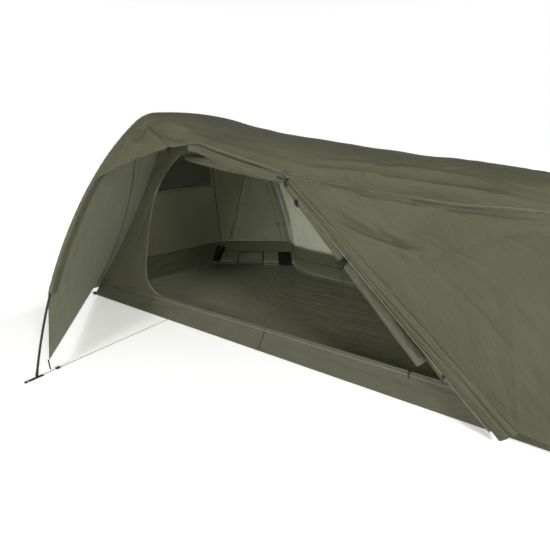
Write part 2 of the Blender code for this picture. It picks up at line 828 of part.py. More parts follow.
class InnerTent:
    """The inner tent's corner lines, base lines and hanging points, shared by its panels."""

    def __init__(self, main_hoop):
        base = FLOOR + CLEARANCE
        self.base = base
        self.head_near = Vector((FLOOR_HEAD_X, FLOOR_NEAR_Y, base))
        self.head_far = Vector((*FLOOR_HEAD_FAR, base))
        self.hoop_far = Vector((*FLOOR_HOOP_FAR, base))
        self.foot_far = Vector((FLOOR_FOOT_X, FLOOR_FOOT_FAR_Y, base))
        self.foot_near = Vector((FLOOR_FOOT_X, FLOOR_NEAR_Y, base))
        self.head_top = wall_point(HEAD_TOP_X, WALL_TOP)
        self.ridge = Vector((0.0, RIDGE_Y, RIDGE_HEIGHT))
        self.foot_top_near = Vector((FOOT_TOP_X, FOOT_TOP_NEAR_Y, FOOT_TOP))
        self.foot_top_far = Vector((FOOT_TOP_X, FOOT_TOP_FAR_Y, FOOT_TOP))
        self.back_base = polyline([
            self.head_far,
            self.hoop_far,
            *[(x, y, base) for x, y in BACK_EDGE],
            self.foot_far,
        ])
        whole = [self.head_far, self.hoop_far, *[Vector((x, y, base)) for x, y in BACK_EDGE], self.foot_far]
        lengths = [(b - a).length for a, b in zip(whole, whole[1:])]
        self.hoop_share = lengths[0] / sum(lengths)
        self.hoop = main_hoop

    def near_corner(self, z):
        """The seam from the head's near corner up to the hanging clip, drawn in at its middle."""
        p = self.head_near.lerp(self.head_top, (z - self.base) / (WALL_TOP - self.base))
        u = max(z - SILL_HEIGHT, 0.0) / (WALL_TOP - SILL_HEIGHT)
        return Vector((p.x, p.y + CORNER_HOLLOW * 4 * u * (1 - u), z))

    def far_corner(self, z):
        u = (z - self.base) / (FAR_SHOULDER.z - self.base)
        return self.head_far.lerp(FAR_SHOULDER, u)

    def gore_seam(self, z):
        u = (z - self.base) / (self.ridge.z - self.base)
        return self.head_far.lerp(self.ridge, u)

    def foot_far_corner(self, z):
        u = (z - self.base) / (FOOT_TOP - self.base)
        return self.foot_far.lerp(self.foot_top_far, u)

    def foot_near_corner(self, z):
        knee = wall_point(FLOOR_FOOT_X, SILL_HEIGHT)
        if z < SILL_HEIGHT:
            return self.foot_near.lerp(knee, (z - self.base) / (SILL_HEIGHT - self.base))
        return knee.lerp(self.foot_top_near, (z - SILL_HEIGHT) / (FOOT_TOP - SILL_HEIGHT))

    def foot_top(self, b):
        p = self.foot_top_near.lerp(self.foot_top_far, b)
        return p + Vector((0, 0, FOOT_TOP_RISE * 4 * b * (1 - b)))

    def leg_line(self, u):
        """Up the back wall inside the hoop's far leg, from the floor at 0 to the far shoulder at 1."""
        low = 1.0
        high = 1.0 - self.hoop.share_at_height(FAR_SHOULDER.z)
        share = low + (high - low) * u
        inset = LEG_TAPE_INSET_FOOT + (LEG_TAPE_INSET_TOP - LEG_TAPE_INSET_FOOT) * u
        p = self.hoop.at(share, -inset)
        start = self.hoop.at(low, -LEG_TAPE_INSET_FOOT)
        end = self.hoop.at(high, -LEG_TAPE_INSET_TOP)
        shift = (self.hoop_far - start) * (1 - u) + (FAR_SHOULDER - end) * u
        return p + shift

    def leg_share(self, z):
        """Share of the leg line at this height."""
        table = np.linspace(0, 1, 40)
        heights = [self.leg_line(u).z for u in table]
        return float(np.interp(z, heights, table))

    def tub_top(self, b):
        """Top of the bathtub wall along the back, 0 at the head's far corner, 1 at the foot's."""
        p = self.back_base(b)
        h = TUB_HEIGHT
        corners = [
            (0.0, self.far_corner(h) - self.head_far),
            (self.hoop_share, self.leg_line(self.leg_share(h)) - self.hoop_far),
            (1.0, self.foot_far_corner(h) - self.foot_far),
        ]
        shares = [c[0] for c in corners]
        lean = Vector([float(np.interp(b, shares, [c[1][k] for c in corners])) for k in range(3)])
        return p + lean


def door_left_edge(z):
    """Head side of the door opening: round at the sill, upright, then leaning in towards the top."""
    shares = [0.0, 0.014, 0.043, 0.086, 0.136, 0.264, 0.478, 0.692, 0.835, 0.935, 1.0]
    places = [-0.035, -0.085, -0.125, -0.152, -0.165, -0.163, -0.145, -0.110, -0.045, 0.025, DOOR_LEFT_TOP_X]
    top = roof_near_edge(DOOR_LEFT_TOP_X).z
    return float(np.interp((z - SILL_HEIGHT) / (top - SILL_HEIGHT), shares, places))


def add_floor(inner, material, parent):
    """The groundsheet, with a groove under it for the cord that ties the hoop's feet together."""
    outline = [inner.head_near, inner.foot_near, inner.foot_far]
    outline += [Vector((x, y, 0)) for x, y in reversed(BACK_EDGE)]
    outline += [inner.hoop_far, inner.head_far]
    points = [Vector((p.x, p.y, z)) for z in (0.0, FLOOR) for p in outline]
    count = len(outline)
    faces = [tuple(range(count)), tuple(range(count, 2 * count))]
    for k in range(count):
        j = (k + 1) % count
        faces.append((k, j, j + count, k + count))
    floor = add_object("floor", points, faces, material, parent, smooth=False)
    half = BASE_CORD_RADIUS + CLEARANCE
    height = 2 * BASE_CORD_RADIUS + 2 * CLEARANCE
    low, high = -MAIN_HALF_WIDTH, MAIN_HALF_WIDTH
    corners = [Vector((x, y, z)) for x in (-half, half) for y in (low, high) for z in (-0.002, height)]
    sides = [(0, 1, 3, 2), (4, 5, 7, 6), (0, 1, 5, 4), (2, 3, 7, 6), (0, 2, 6, 4), (1, 3, 7, 5)]
    groove = add_object("floor_groove", corners, sides, material, parent, smooth=False)
    groove.hide_render = True
    groove.display_type = "WIRE"
    cut = floor.modifiers.new("groove", "BOOLEAN")
    cut.operation = "DIFFERENCE"
    cut.object = groove
    return floor


def add_tub(inner, material, parent):
    """The bathtub walls that stand up from the floor's edge."""
    near = coons(
        lambda b: wall_point(FLOOR_HEAD_X + (FLOOR_FOOT_X - FLOOR_HEAD_X) * b, inner.base),
        straight(inner.near_corner(SILL_HEIGHT), inner.foot_near_corner(SILL_HEIGHT)),
        lambda a: inner.near_corner(inner.base + (SILL_HEIGHT - inner.base) * a),
        lambda a: inner.foot_near_corner(inner.base + (SILL_HEIGHT - inner.base) * a),
    )
    make_cloth("tub_near", near, 2, 6, material, parent)

    def head(a, b):
        z = inner.base + (TUB_HEIGHT - inner.base) * a
        return inner.near_corner(z).lerp(inner.far_corner(z), b)

    make_cloth("tub_head", head, 2, 6, material, parent)

    def back(a, b):
        return inner.back_base(b).lerp(inner.tub_top(b), a)

    make_cloth("tub_back", back, 2, 30, material, parent)
    return back


def add_walls(inner, cloth, mesh, parent):
    """The walls and roof that hang from the hoop line above the bathtub."""
    top = WALL_TOP

    def head_wall(a, b):
        left = inner.near_corner(TUB_HEIGHT + (top - TUB_HEIGHT) * a)
        right = inner.gore_seam(TUB_HEIGHT + (inner.ridge.z - TUB_HEIGHT) * a)
        skew = (inner.far_corner(TUB_HEIGHT) - inner.gore_seam(TUB_HEIGHT)) * (1 - a)
        return left.lerp(right + skew, b)

    make_cloth("head_wall", head_wall, 8, 8, cloth, parent)

    apex = 0.03
    gore_left = lambda a: head_wall(a, 1.0)
    low_far = inner.tub_top(apex)

    def gore(a, b):
        right = low_far.lerp(FAR_SHOULDER, a)
        return gore_left(a).lerp(right, b)

    make_cloth("head_gore", gore, 8, 4, cloth, parent)

    leg_low = inner.leg_share(TUB_HEIGHT)
    peak = 0.97

    def leg(a):
        return inner.leg_line(leg_low + (peak - leg_low) * a)

    back_wall = coons(
        lambda b: inner.tub_top(apex + (inner.hoop_share - apex) * b),
        straight(FAR_SHOULDER, leg(1.0)),
        straight(low_far, FAR_SHOULDER),
        leg,
    )
    make_cloth("back_wall", back_wall, 10, 8, cloth, parent)

    back_mesh = coons(
        lambda b: inner.tub_top(inner.hoop_share + (1 - inner.hoop_share) * b),
        straight(leg(1.0), inner.foot_top_far),
        leg,
        lambda a: inner.foot_far_corner(TUB_HEIGHT + (FOOT_TOP - TUB_HEIGHT) * a),
    )
    make_cloth("back_mesh", back_mesh, 10, 14, mesh, parent)

    door_left = roof_near_edge(DOOR_LEFT_TOP_X)
    near_head = coons(
        straight(inner.near_corner(SILL_HEIGHT), wall_point(door_left_edge(SILL_HEIGHT), SILL_HEIGHT)),
        polyline([inner.head_top, roof_near_edge(0.0), door_left]),
        lambda a: inner.near_corner(SILL_HEIGHT + (top - SILL_HEIGHT) * a),
        lambda a: wall_point(
            door_left_edge(SILL_HEIGHT + (door_left.z - SILL_HEIGHT) * a),
            SILL_HEIGHT + (door_left.z - SILL_HEIGHT) * a,
        ),
    )
    make_cloth("near_wall_head", near_head, 16, 6, cloth, parent)

    door_foot = wall_point(DOOR_FOOT_X, SILL_HEIGHT)
    door_top = wall_point(*DOOR_TOP_RIGHT)
    near_foot = coons(
        straight(door_foot, inner.foot_near_corner(SILL_HEIGHT)),
        straight(door_top, inner.foot_top_near),
        straight(door_foot, door_top),
        lambda a: inner.foot_near_corner(SILL_HEIGHT + (FOOT_TOP - SILL_HEIGHT) * a),
    )
    make_cloth("near_wall_foot", near_foot, 8, 8, cloth, parent)

    seam = Vector((ROOF_SEAM, 0, ROOF_SEAM))
    near_edge = [inner.head_top, roof_near_edge(0.0), door_top]
    roof = coons(
        polyline([p + seam for p in (inner.head_top, inner.ridge, FAR_SHOULDER)]),
        inner.foot_top,
        polyline([*(p + seam for p in near_edge), inner.foot_top_near]),
        straight(FAR_SHOULDER + seam, inner.foot_top_far),
    )
    make_cloth("inner_roof", roof, 14, 10, cloth, parent)
    foot_wall = coons(
        straight(inner.foot_near, inner.foot_far),
        inner.foot_top,
        lambda a: inner.foot_near_corner(inner.base + (FOOT_TOP - inner.base) * a),
        straight(inner.foot_far, inner.foot_top_far),
    )
    make_cloth("foot_wall", foot_wall, 8, 8, cloth, parent)


def round_ring(axis, radius, sides, squash=1.0):
    """A ring of points about an axis that lies along the tent, in the upright direction and outwards."""
    side = axis.cross(Vector((0, 0, 1))).normalized()
    up = side.cross(axis).normalized()
    angles = [2 * math.pi * (j + 0.5) / sides for j in range(sides)]
    return [side * (radius * squash * math.cos(a)) + up * (radius * math.sin(a)) for a in angles]


def add_door_rolls(inner, cloth, webbing, parent):
    """The inner door rolled up in two arms that meet at the tie, with two ties round the slanted one."""
    top_left = roof_near_edge(DOOR_LEFT_TOP_X + 0.015)
    door_top = wall_point(*DOOR_TOP_RIGHT)
    sides, steps = ROLL_SIDES, 12
    drop = TOP_ROLL_RADIUS * math.cos(math.pi / sides) + CLOTH - ROOF_SEAM
    axis = (door_top - top_left).normalized()
    centres, rings = [], []
    for k in range(steps + 1):
        share = k / steps
        x = top_left.x + (door_top.x - 0.030 - top_left.x) * share
        p = roof_near_edge(x)
        fat = 0.45 + 0.55 * math.sin(math.pi * min(max(share * 0.86 + 0.07, 0), 1)) ** 0.5
        centres.append(p - Vector((0, 0, drop)))
        rings.append(round_ring(axis, TOP_ROLL_RADIUS * fat, sides))
    sweep("door_roll_top", centres, rings, cloth, parent)

    out = (SIDE_ROLL_RADIUS + TIE_ROOM + TIE_THICKNESS) * math.cos(math.pi / sides) + 2 * CLEARANCE
    door_foot = wall_point(DOOR_FOOT_X, SILL_HEIGHT)
    slope = (door_foot - door_top).normalized()
    normal = slope.cross(Vector((1, 0, 0))).normalized()
    normal = Vector((0, -1, 0)) - slope * slope.dot(Vector((0, -1, 0)))
    normal.normalize()
    start = door_top + slope * 0.020 + normal * out
    reach = (door_top.z - SIDE_ROLL_FOOT) / abs(slope.z)
    end = door_top + slope * reach + normal * out
    centres = [start.lerp(end, k / 8) for k in range(9)]
    rings = [round_ring(slope, SIDE_ROLL_RADIUS, sides) for _ in centres]
    sweep("door_roll_side", centres, rings, cloth, parent)
    for name, (distance, width) in (("door_tie_upper", UPPER_TIE), ("door_tie_lower", LOWER_TIE)):
        add_tie(name, door_top + slope * distance + normal * out, slope, width, webbing, parent)
    return slope


def add_tie(name, centre, axis, width, material, parent):
    """A band round the rolled door."""
    sides = ROLL_SIDES
    outer = round_ring(axis, SIDE_ROLL_RADIUS + TIE_ROOM + TIE_THICKNESS, sides)
    inner = round_ring(axis, SIDE_ROLL_RADIUS + TIE_ROOM, sides)
    points = []
    for side in (-width / 2, width / 2):
        points += [centre + axis * side + p for p in outer]
        points += [centre + axis * side + p for p in inner]
    faces = []
    for j in range(sides):
        k = (j + 1) % sides
        faces.append((j, k, k + 2 * sides, j + 2 * sides))
        faces.append((j + sides, k + sides, k + 3 * sides, j + 3 * sides))
        faces.append((j, k, k + sides, j + sides))
        faces.append((j + 2 * sides, k + 2 * sides, k + 3 * sides, j + 3 * sides))
    return add_object(name, points, faces, material, parent)


def open_box(name, place, wall, columns, material, parent):
    """A pouch open at its top. place maps width, height and depth, 0 to 1, and wall gives their shares."""
    side, bottom, face = wall
    inside = [side + (1 - 2 * side) * k / columns for k in range(columns + 1)]
    stations = [0.0, *inside, 1.0]
    outer_ring = [(0, 0), (0, 1), (1, 1), (1, 0)]
    inner_ring = [(1, face), (bottom, face), (bottom, 1 - face), (1, 1 - face)]
    points = [place(u, v, w) for u in stations for v, w in outer_ring]
    start = len(points)
    points += [place(u, v, w) for u in inside for v, w in inner_ring]
    faces = []
    for k in range(len(stations) - 1):
        a = 4 * k
        for i, j in ((0, 1), (1, 2), (3, 0)):
            faces.append((a + i, a + j, a + j + 4, a + i + 4))
    for k in range(columns):
        a, b = start + 4 * k, 4 * (k + 1)
        for i, j in ((0, 1), (1, 2), (2, 3)):
            faces.append((a + i, a + j, a + j + 4, a + i + 4))
        faces.append((b + 3, b + 7, a + 4, a))
        faces.append((b + 2, b + 6, a + 7, a + 3))
    last, end = start + 4 * columns, 4 * (columns + 1)
    faces += [(0, 1, 2, 3), tuple(end + 4 + i for i in range(4))]
    faces += [tuple(start + i for i in range(4)), tuple(last + i for i in range(4))]
    faces.append((3, 2, 6, start + 3, start, 7))
    faces.append((end + 7, end + 6, end + 2, last + 3, last, end + 3))
    return add_object(name, points, faces, material, parent, smooth=False)


def on_tub(tub, b_start, b_end, height, near, far):
    """Places on the inner face of the back bathtub wall, between two offsets from its outer face."""

    def place(u, v, w):
        b = b_start + (b_end - b_start) * u
        p = tub(v * height / TUB_HEIGHT, b)
        return p + inward(p) * (near + (far - near) * w)

    return place


def add_pockets(inner, tub, mesh, webbing, parent):
    """The mesh pocket on the bathtub wall, and the dark patch where the wall meets the hoop's foot."""
    near = CLOTH + POCKET_GAP
    depth = POCKET_DEPTH
    place = on_tub(tub, inner.hoop_share * 0.28, inner.hoop_share * 0.62, 0.110, near, near + depth)
    open_box("mesh_pocket", place, (0.008, 0.014, 0.09), 6, mesh, parent)
    place = on_tub(tub, inner.hoop_share * 0.82, inner.hoop_share * 0.985, 0.112, near, near + depth)
    open_box("hoop_pocket", place, (0.016, 0.014, 0.09), 4, webbing, parent)


def add_wall_tie(inner, tub, material, parent):
    """A thin cord that hangs in a loose bend from the back wall's low seam down to the floor."""
    table = [k / 100 for k in range(101)]
    places = [inner.back_base(b).x for b in table]
    offset = CLOTH + WALL_TIE_RADIUS + 2 * CLEARANCE
    foot = FLOOR + CLEARANCE
    points = []
    for k in range(WALL_TIE_STEPS + 1):
        t = k / WALL_TIE_STEPS
        sway = WALL_TIE_SWAY * (1 - math.cos(math.pi * min(t / 0.8, 1.0))) / 2
        back = WALL_TIE_RETURN * math.sin(math.pi / 2 * max(t / 0.8 - 1.0, 0.0) * 4) ** 2
        z = WALL_TIE_HEIGHT + (foot - WALL_TIE_HEIGHT) * t
        b = float(np.interp(WALL_TIE_X + sway - back, places, table))
        p = tub(z / TUB_HEIGHT, b)
        p += inward(p) * offset
        points.append((p.x, p.y, z))
    curve = bpy.data.curves.new("wall_tie", "CURVE")
    curve.dimensions = "3D"
    curve.bevel_depth = WALL_TIE_RADIUS
    curve.bevel_resolution = 2
    curve.use_fill_caps = True
    curve.materials.append(material)
    line = curve.splines.new("POLY")
    line.points.add(len(points) - 1)
    line.points.foreach_set("co", [c for p in points for c in (*p, 1.0)])
    tie = bpy.data.objects.new("wall_tie", curve)
    bpy.context.scene.collection.objects.link(tie)
    tie.parent = parent


# Hardware and ground line


def add_hang_clip(hoop, material, parent):
    """The strap and clip that hang the inner tent's near wall from the hoop, and the pull below it."""
    y = wall_y(WALL_TOP) - HANG_DEPTH / 2 + CLOTH
    top = hoop.at(np.interp(y - HANG_DEPTH / 2, hoop.y, hoop.share), -SLEEVE_IN).z - 2 * CLEARANCE
    bottom = WALL_TOP + CLOTH
    centre_z = (top + bottom) / 2
    half = (top - bottom) / 2
    body = 0.014
    outline = [
        (-0.009, -half),
        (0.009, -half),
        (0.009, -half + body),
        (0.004, -half + body + 0.004),
        (0.004, half),
        (-0.004, half),
        (-0.004, -half + body + 0.004),
        (-0.009, -half + body),
    ]
    depth = HANG_DEPTH
    place = Vector((0.0, y, centre_z))
    across, up = Vector((1, 0, 0)), Vector((0, 0, 1))
    extrude_outline("hang_clip", outline, across, up, depth, place, material, parent)
    face = y - depth / 2
    hinge = Vector((0.0, face - CLEARANCE * 1.5 - PULL_THICKNESS / 2, bottom + 0.006))
    make_pull("clip_pull", hinge, material, parent)
    return hinge


def add_sill_slider(material, parent):
    """The inner door's slider over the sill, at the foot end of its run, and its pull."""
    x = SILL_SLIDER_X
    lean = (wall_point(x, SILL_HEIGHT) - wall_point(x, SILL_HEIGHT - 0.01)).normalized()
    outwards = Vector((0, -lean.z, lean.y))
    edge = wall_point(x, SILL_HEIGHT)
    thick = CLOTH
    width = 0.006
    place = edge - lean * (width / 2 - thick * 0.5) - outwards * (thick / 2)
    outline = slider_outline(width, thick, SILL_LUG)
    extrude_outline("sill_slider", outline, lean, outwards, SLIDER_LENGTH, place, material, parent)
    face = thick / 2 + SLIDER_ROOM + SLIDER_WALL + SILL_LUG
    hinge = place + outwards * (face + 2 * CLEARANCE + PULL_THICKNESS / 2)
    make_pull("sill_pull", hinge, material, parent)
    return place, hinge


def add_base_cord(material, parent):
    """The cord that ties the hoop's feet together, straight across the ground."""
    end = MAIN_HALF_WIDTH - (STRAP_LENGTH - STRAP_OUTSIDE) - CLEARANCE
    radius = BASE_CORD_RADIUS
    sides = 6
    ring = [
        Vector((radius * math.cos(a), 0, radius * math.sin(a)))
        for a in [2 * math.pi * k / sides for k in range(sides)]
    ]
    low, high = Vector((0, -end, radius)), Vector((0, end, radius))
    centres = [low.lerp(high, k / 8) for k in range(9)]
    sweep("base_cord", centres, [ring] * 9, material, parent)


def cut_slots(strap, place, along, slots, thickness, material, parent):
    """Round-ended holes through a strap. Each slot is its distance from place, its length and its width."""
    across = Vector((0, 0, 1)).cross(along).normalized()
    for k, (distance, slot, hole) in enumerate(slots):
        radius = hole / 2
        run = max(slot / 2 - radius, 0.0)
        outline = []
        for end, first in ((1, -90), (-1, 90)):
            for step in range(7):
                a = math.radians(first + 30 * step)
                outline.append((end * run + radius * math.cos(a), radius * math.sin(a)))
        centre = place + along * distance
        cutter = extrude_outline(
            f"{strap.name}_hole_{k}", outline, along, across, 4 * thickness, centre, material, parent
        )
        cutter.hide_render = True
        cutter.display_type = "WIRE"
        cut = strap.modifiers.new(f"hole {k}", "BOOLEAN")
        cut.operation = "DIFFERENCE"
        cut.object = cutter


def ground_strap(name, top, along, drop, length, slots, webbing, parent):
    """Webbing that comes down from top over a run of drop, then lies on the ground, with its holes there."""
    across = Vector((0, 0, 1)).cross(along).normalized()
    middle = WEBBING / 2
    foot = Vector((top.x, top.y, middle)) + along * drop
    end = Vector((top.x, top.y, middle)) + along * length
    centres, ups = [foot, end], [Vector((0, 0, 1))] * 2
    if drop > 0:
        slope = (foot - top).normalized()
        first = across.cross(slope).normalized()
        first = first if first.z > 0 else -first
        centres = [top, *centres]
        ups = [first, (first + ups[0]) / (1 + first.z), ups[1]]
    rings = []
    for up in ups:
        corners = ((-1, -1), (1, -1), (1, 1), (-1, 1))
        rings.append([across * (sx * LOOP_WIDTH / 2) + up * (sy * middle) for sx, sy in corners])
    strap = sweep(name, centres, rings, webbing, parent)
    cut_slots(strap, Vector((top.x, top.y, middle)), along, slots, WEBBING, webbing, parent)


def add_ground_loops(foot_line, webbing, parent):
    """Peg loops at the four corners, and the longer straps under the main hoop's two feet."""
    near_foot, far_foot = foot_corners(foot_line)
    corners = [
        ("head_loop_near", HEAD_NEAR, (-0.75, -0.55)),
        ("head_loop_far", HEAD_FAR, (-0.75, 0.55)),
        ("foot_loop_near", near_foot, (0.85, -0.40)),
        ("foot_loop_far", far_foot, (0.85, 0.40)),
    ]
    for name, corner, direction in corners:
        along = Vector((*direction, 0)).normalized()
        top = corner + along * CLEARANCE
        slots = [(LOOP_LENGTH - PEG_HOLE[0], *PEG_HOLE[1:])]
        ground_strap(name, top, along, LOOP_DROP, LOOP_LENGTH, slots, webbing, parent)
    for name, side in (("hoop_strap_near", -1), ("hoop_strap_far", 1)):
        inside = STRAP_LENGTH - STRAP_OUTSIDE
        place = Vector((0, side * (MAIN_HALF_WIDTH - inside), 0))
        eye = 2 * (TIP_NOSE_RADIUS + 2 * CLEARANCE)
        slots = [(inside, eye, eye), (STRAP_LENGTH - 0.012, 0.010, 0.007)]
        ground_strap(name, place, Vector((0, side, 0)), 0.0, STRAP_LENGTH, slots, webbing, parent)


def add_corner_webs(main_line, webbing, plastic, parent):
    """Webbing from the fly's corners down to the cord, and the adjuster that runs on the cord."""
    for name, side in (("corner_web_near", -1), ("corner_web_far", 1)):
        corner = main_line(0.0 if side < 0 else 1.0, 0.0)
        top = corner.z - CLEARANCE
        low = 2 * BASE_CORD_RADIUS + CLEARANCE
        start = Vector((-0.014, corner.y, low))
        end = Vector((-0.014, corner.y, top))
        across, out = Vector((1, 0, 0)), Vector((0, 1, 0))
        bar(name, start, end, across, 0.010, out, WEBBING, webbing, parent)
    return add_cord_adjuster(plastic, parent)


def add_cord_adjuster(plastic, parent):
    """A small block that runs on the base cord, open underneath."""
    place = Vector((0, MAIN_CORNER_INSET - MAIN_HALF_WIDTH + ADJUSTER_INSET, 0))
    across, up = Vector((1, 0, 0)), Vector((0, 0, 1))
    height = 2 * BASE_CORD_RADIUS + ADJUSTER_ROOF
    start = place + Vector((0, -ADJUSTER_LENGTH / 2, height / 2))
    end = place + Vector((0, ADJUSTER_LENGTH / 2, height / 2))
    body = bar(
        "cord_adjuster", start, end, across, ADJUSTER_WIDTH, up, height, plastic, parent, place
    )
    room = BASE_CORD_RADIUS + CLEARANCE
    outline = [(-room, -room), (room, -room), (room, 2 * room), (-room, 2 * room)]
    cutter = extrude_outline(
        "cord_adjuster_way", outline, across, up, 2 * ADJUSTER_LENGTH, place, plastic, parent
    )
    cutter.hide_render = True
    cutter.display_type = "WIRE"
    cut = body.modifiers.new("way", "BOOLEAN")
    cut.operation = "DIFFERENCE"
    cut.object = cutter
    return place


def add_buckle(inner, plastic, parent):
    """Side release buckle between the inner tent's head corner and the fly's: a socket and its tongue."""
    corner = Vector((inner.head_near.x, inner.head_near.y, 0))
    along = (Vector((HEAD_NEAR.x, HEAD_NEAR.y, 0)) - corner).normalized()
    across = Vector((0, 0, 1)).cross(along)
    up = Vector((0, 0, 1))
    base = WEBBING + 2 * CLEARANCE
    back = corner + along * BUCKLE_SEAT + up * (base + BUCKLE_HEIGHT / 2)
    mouth = back + along * BUCKLE_LENGTH
    socket = bar("head_buckle", back, mouth, across, BUCKLE_WIDTH, up, BUCKLE_HEIGHT, plastic, parent)
    stem_width, stem_height = BUCKLE_WIDTH * 0.6, BUCKLE_HEIGHT * 0.4
    room = 0.0004
    start = mouth - along * (TONGUE_INSIDE + room)
    cutter = bar(
        "head_buckle_bore",
        start,
        mouth + along * 0.010,
        across,
        stem_width + 2 * room,
        up,
        stem_height + 2 * room,
        plastic,
        parent,
    )
    cutter.hide_render = True
    cutter.display_type = "WIRE"
    cut = socket.modifiers.new("bore", "BOOLEAN")
    cut.operation = "DIFFERENCE"
    cut.object = cutter
    inside, outside = -TONGUE_INSIDE, TONGUE_OUTSIDE
    half, wide = stem_width / 2, BUCKLE_WIDTH / 2
    outline = [
        (inside, -half),
        (room, -half),
        (room, -wide),
        (outside, -wide),
        (outside, wide),
        (room, wide),
        (room, half),
        (inside, half),
    ]
    extrude_outline("buckle_tongue", outline, along, across, stem_height, mouth, plastic, parent)
    return along


def centre_origin(tent):
    """Moves the whole tent so that the origin is on the ground under the middle of its outline."""
    bpy.context.view_layer.update()
    corners = [
        obj.matrix_world @ vertex.co
        for obj in tent.children
        if not obj.hide_render and obj.type == "MESH"
        for vertex in obj.data.vertices
    ]
    low = [min(c[k] for c in corners) for k in range(2)]
    high = [max(c[k] for c in corners) for k in range(2)]
    tent.location = (-(low[0] + high[0]) / 2, -(low[1] + high[1]) / 2, 0)


def main():
    tent = start_scene()
    olive = make_material("fly_nylon", (0.130, 0.138, 0.100), 0.55)
    light = make_material("inner_nylon", (0.200, 0.212, 0.160), 0.60)
    dark = make_material("groundsheet", (0.060, 0.066, 0.042), 0.45)
    net = make_material("insect_mesh", (0.080, 0.085, 0.065), 0.80)
    black = make_material("webbing", (0.012, 0.012, 0.012), 0.75)
    plastic = make_material("moulded_plastic", (0.010, 0.010, 0.010), 0.40)
    metal = make_material("anodised_aluminium", (0.020, 0.021, 0.020), 0.35, 0.9)
    grey = make_material("guy_cord", (0.160, 0.160, 0.140), 0.70)

    steps = (10, 5, 4)
    main_hoop = Hoop(
        0.0, MAIN_HALF_WIDTH, MAIN_HEIGHT, 0.0, MAIN_LEAN, MAIN_LEG, MAIN_ELBOW, MAIN_CROWN_HALF, steps
    )
    foot_hoop = Hoop(
        FOOT_X, FOOT_HALF_WIDTH, FOOT_HEIGHT, FOOT_MIDDLE_Y,
        FOOT_LEAN, FOOT_LEG, FOOT_ELBOW, FOOT_CROWN_HALF, (6, 5, 3),
    )
    add_poles(main_hoop, foot_hoop, metal, plastic, grey, tent)
    make_sleeve("main_sleeve", main_hoop, MAIN_SLEEVE_END, olive, tent)
    make_sleeve("foot_sleeve", foot_hoop, FOOT_SLEEVE_END, olive, tent)

    corner_y = MAIN_HALF_WIDTH - MAIN_CORNER_INSET
    main_line = fly_line(main_hoop, corner_y, MAIN_CORNER_HEIGHT, MAIN_SLEEVE_END)
    foot_line = fly_line(
        foot_hoop, FOOT_HALF_WIDTH - FOOT_CORNER_INSET, FOOT_CORNER_HEIGHT, FOOT_SLEEVE_END
    )
    fly = make_fly_surface(main_line, foot_line)
    tie = add_fly(fly, foot_line, olive, tent)
    add_head_end(main_line, olive, tent)
    add_foot_end(foot_line, olive, tent)
    add_door_roll(tie, olive, tent)
    add_door_gather(fly, olive, tent)
    slider, fly_hinge, zip_way = add_fly_zip(tie, black, plastic, tent)

    inner = InnerTent(main_hoop)
    add_floor(inner, dark, tent)
    tub = add_tub(inner, light, tent)
    add_walls(inner, light, net, tent)
    add_door_rolls(inner, light, black, tent)
    add_pockets(inner, tub, net, black, tent)
    add_wall_tie(inner, tub, black, tent)

    clip_hinge = add_hang_clip(main_hoop, plastic, tent)
    sill_place, sill_hinge = add_sill_slider(plastic, tent)
    add_base_cord(grey, tent)
    add_ground_loops(foot_line, black, tent)
    adjuster = add_corner_webs(main_line, black, plastic, tent)
    along = add_buckle(inner, plastic, tent)
    centre_origin(tent)
    bpy.context.view_layer.update()
    print("tent origin", tuple(round(c, 5) for c in tent.location))
    for name, place in (
        ("fly slider", slider), ("fly pull", fly_hinge), ("sill slider", sill_place),
        ("sill pull", sill_hinge), ("clip pull", clip_hinge), ("cord adjuster", adjuster),
    ):
        print(name, tuple(round(c, 5) for c in (place + tent.location)))
    print("fly zip way", tuple(round(c, 5) for c in zip_way))
    print("buckle way", tuple(round(c, 5) for c in along))


def add_shock_cord(name, hoop, start, material, parent):
    """The elastic cord that runs through all of a hoop's sections."""
    ring = circle(SHOCK_CORD_RADIUS, 4)
    centres, rings = [], []
    for share in hoop.between(start, 1 - start):
        out = hoop.out(share)
        centres.append(hoop.at(share))
        rings.append([Vector((x, 0, 0)) + out * r for x, r in ring])
    sweep(name, centres, rings, material, parent)


def add_poles(main_hoop, foot_hoop, metal, plastic, grey, parent):
    """The main hoop in five sections, with a tip under each foot, and the foot hoop in three."""
    tip = TIP_LENGTH / main_hoop.length
    gap = CLEARANCE / main_hoop.length
    lower = MAIN_LOWER_SECTION / main_hoop.length
    upper = main_hoop.share[15]
    cuts = [tip, lower, float(upper), 1 - float(upper), 1 - lower, 1 - tip]
    names = ["near_lower", "near_upper", "crown", "far_upper", "far_lower"]
    for k, name in enumerate(names):
        start = cuts[k] + (gap if k else 0.0)
        last = k == len(names) - 1
        pole_section(f"main_pole_{name}", main_hoop, start, cuts[k + 1], metal, parent, spigot=not last)
    stem = (TIP_LENGTH + SPIGOT_LENGTH) / main_hoop.length + gap
    add_shock_cord("main_shock_cord", main_hoop, stem, grey, parent)
    pole_tip("main_pole_tip_near", main_hoop, True, plastic, parent)
    pole_tip("main_pole_tip_far", main_hoop, False, plastic, parent)
    gap = CLEARANCE / foot_hoop.length
    lower = FOOT_LOWER_SECTION / foot_hoop.length
    low = 0.006 / foot_hoop.length
    cuts = [low, lower, 1 - lower, 1 - low]
    for k, name in enumerate(["near", "crown", "far"]):
        start = cuts[k] + (gap if k else 0.0)
        pole_section(f"foot_pole_{name}", foot_hoop, start, cuts[k + 1], metal, parent, spigot=k < 2)


main()
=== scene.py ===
import math

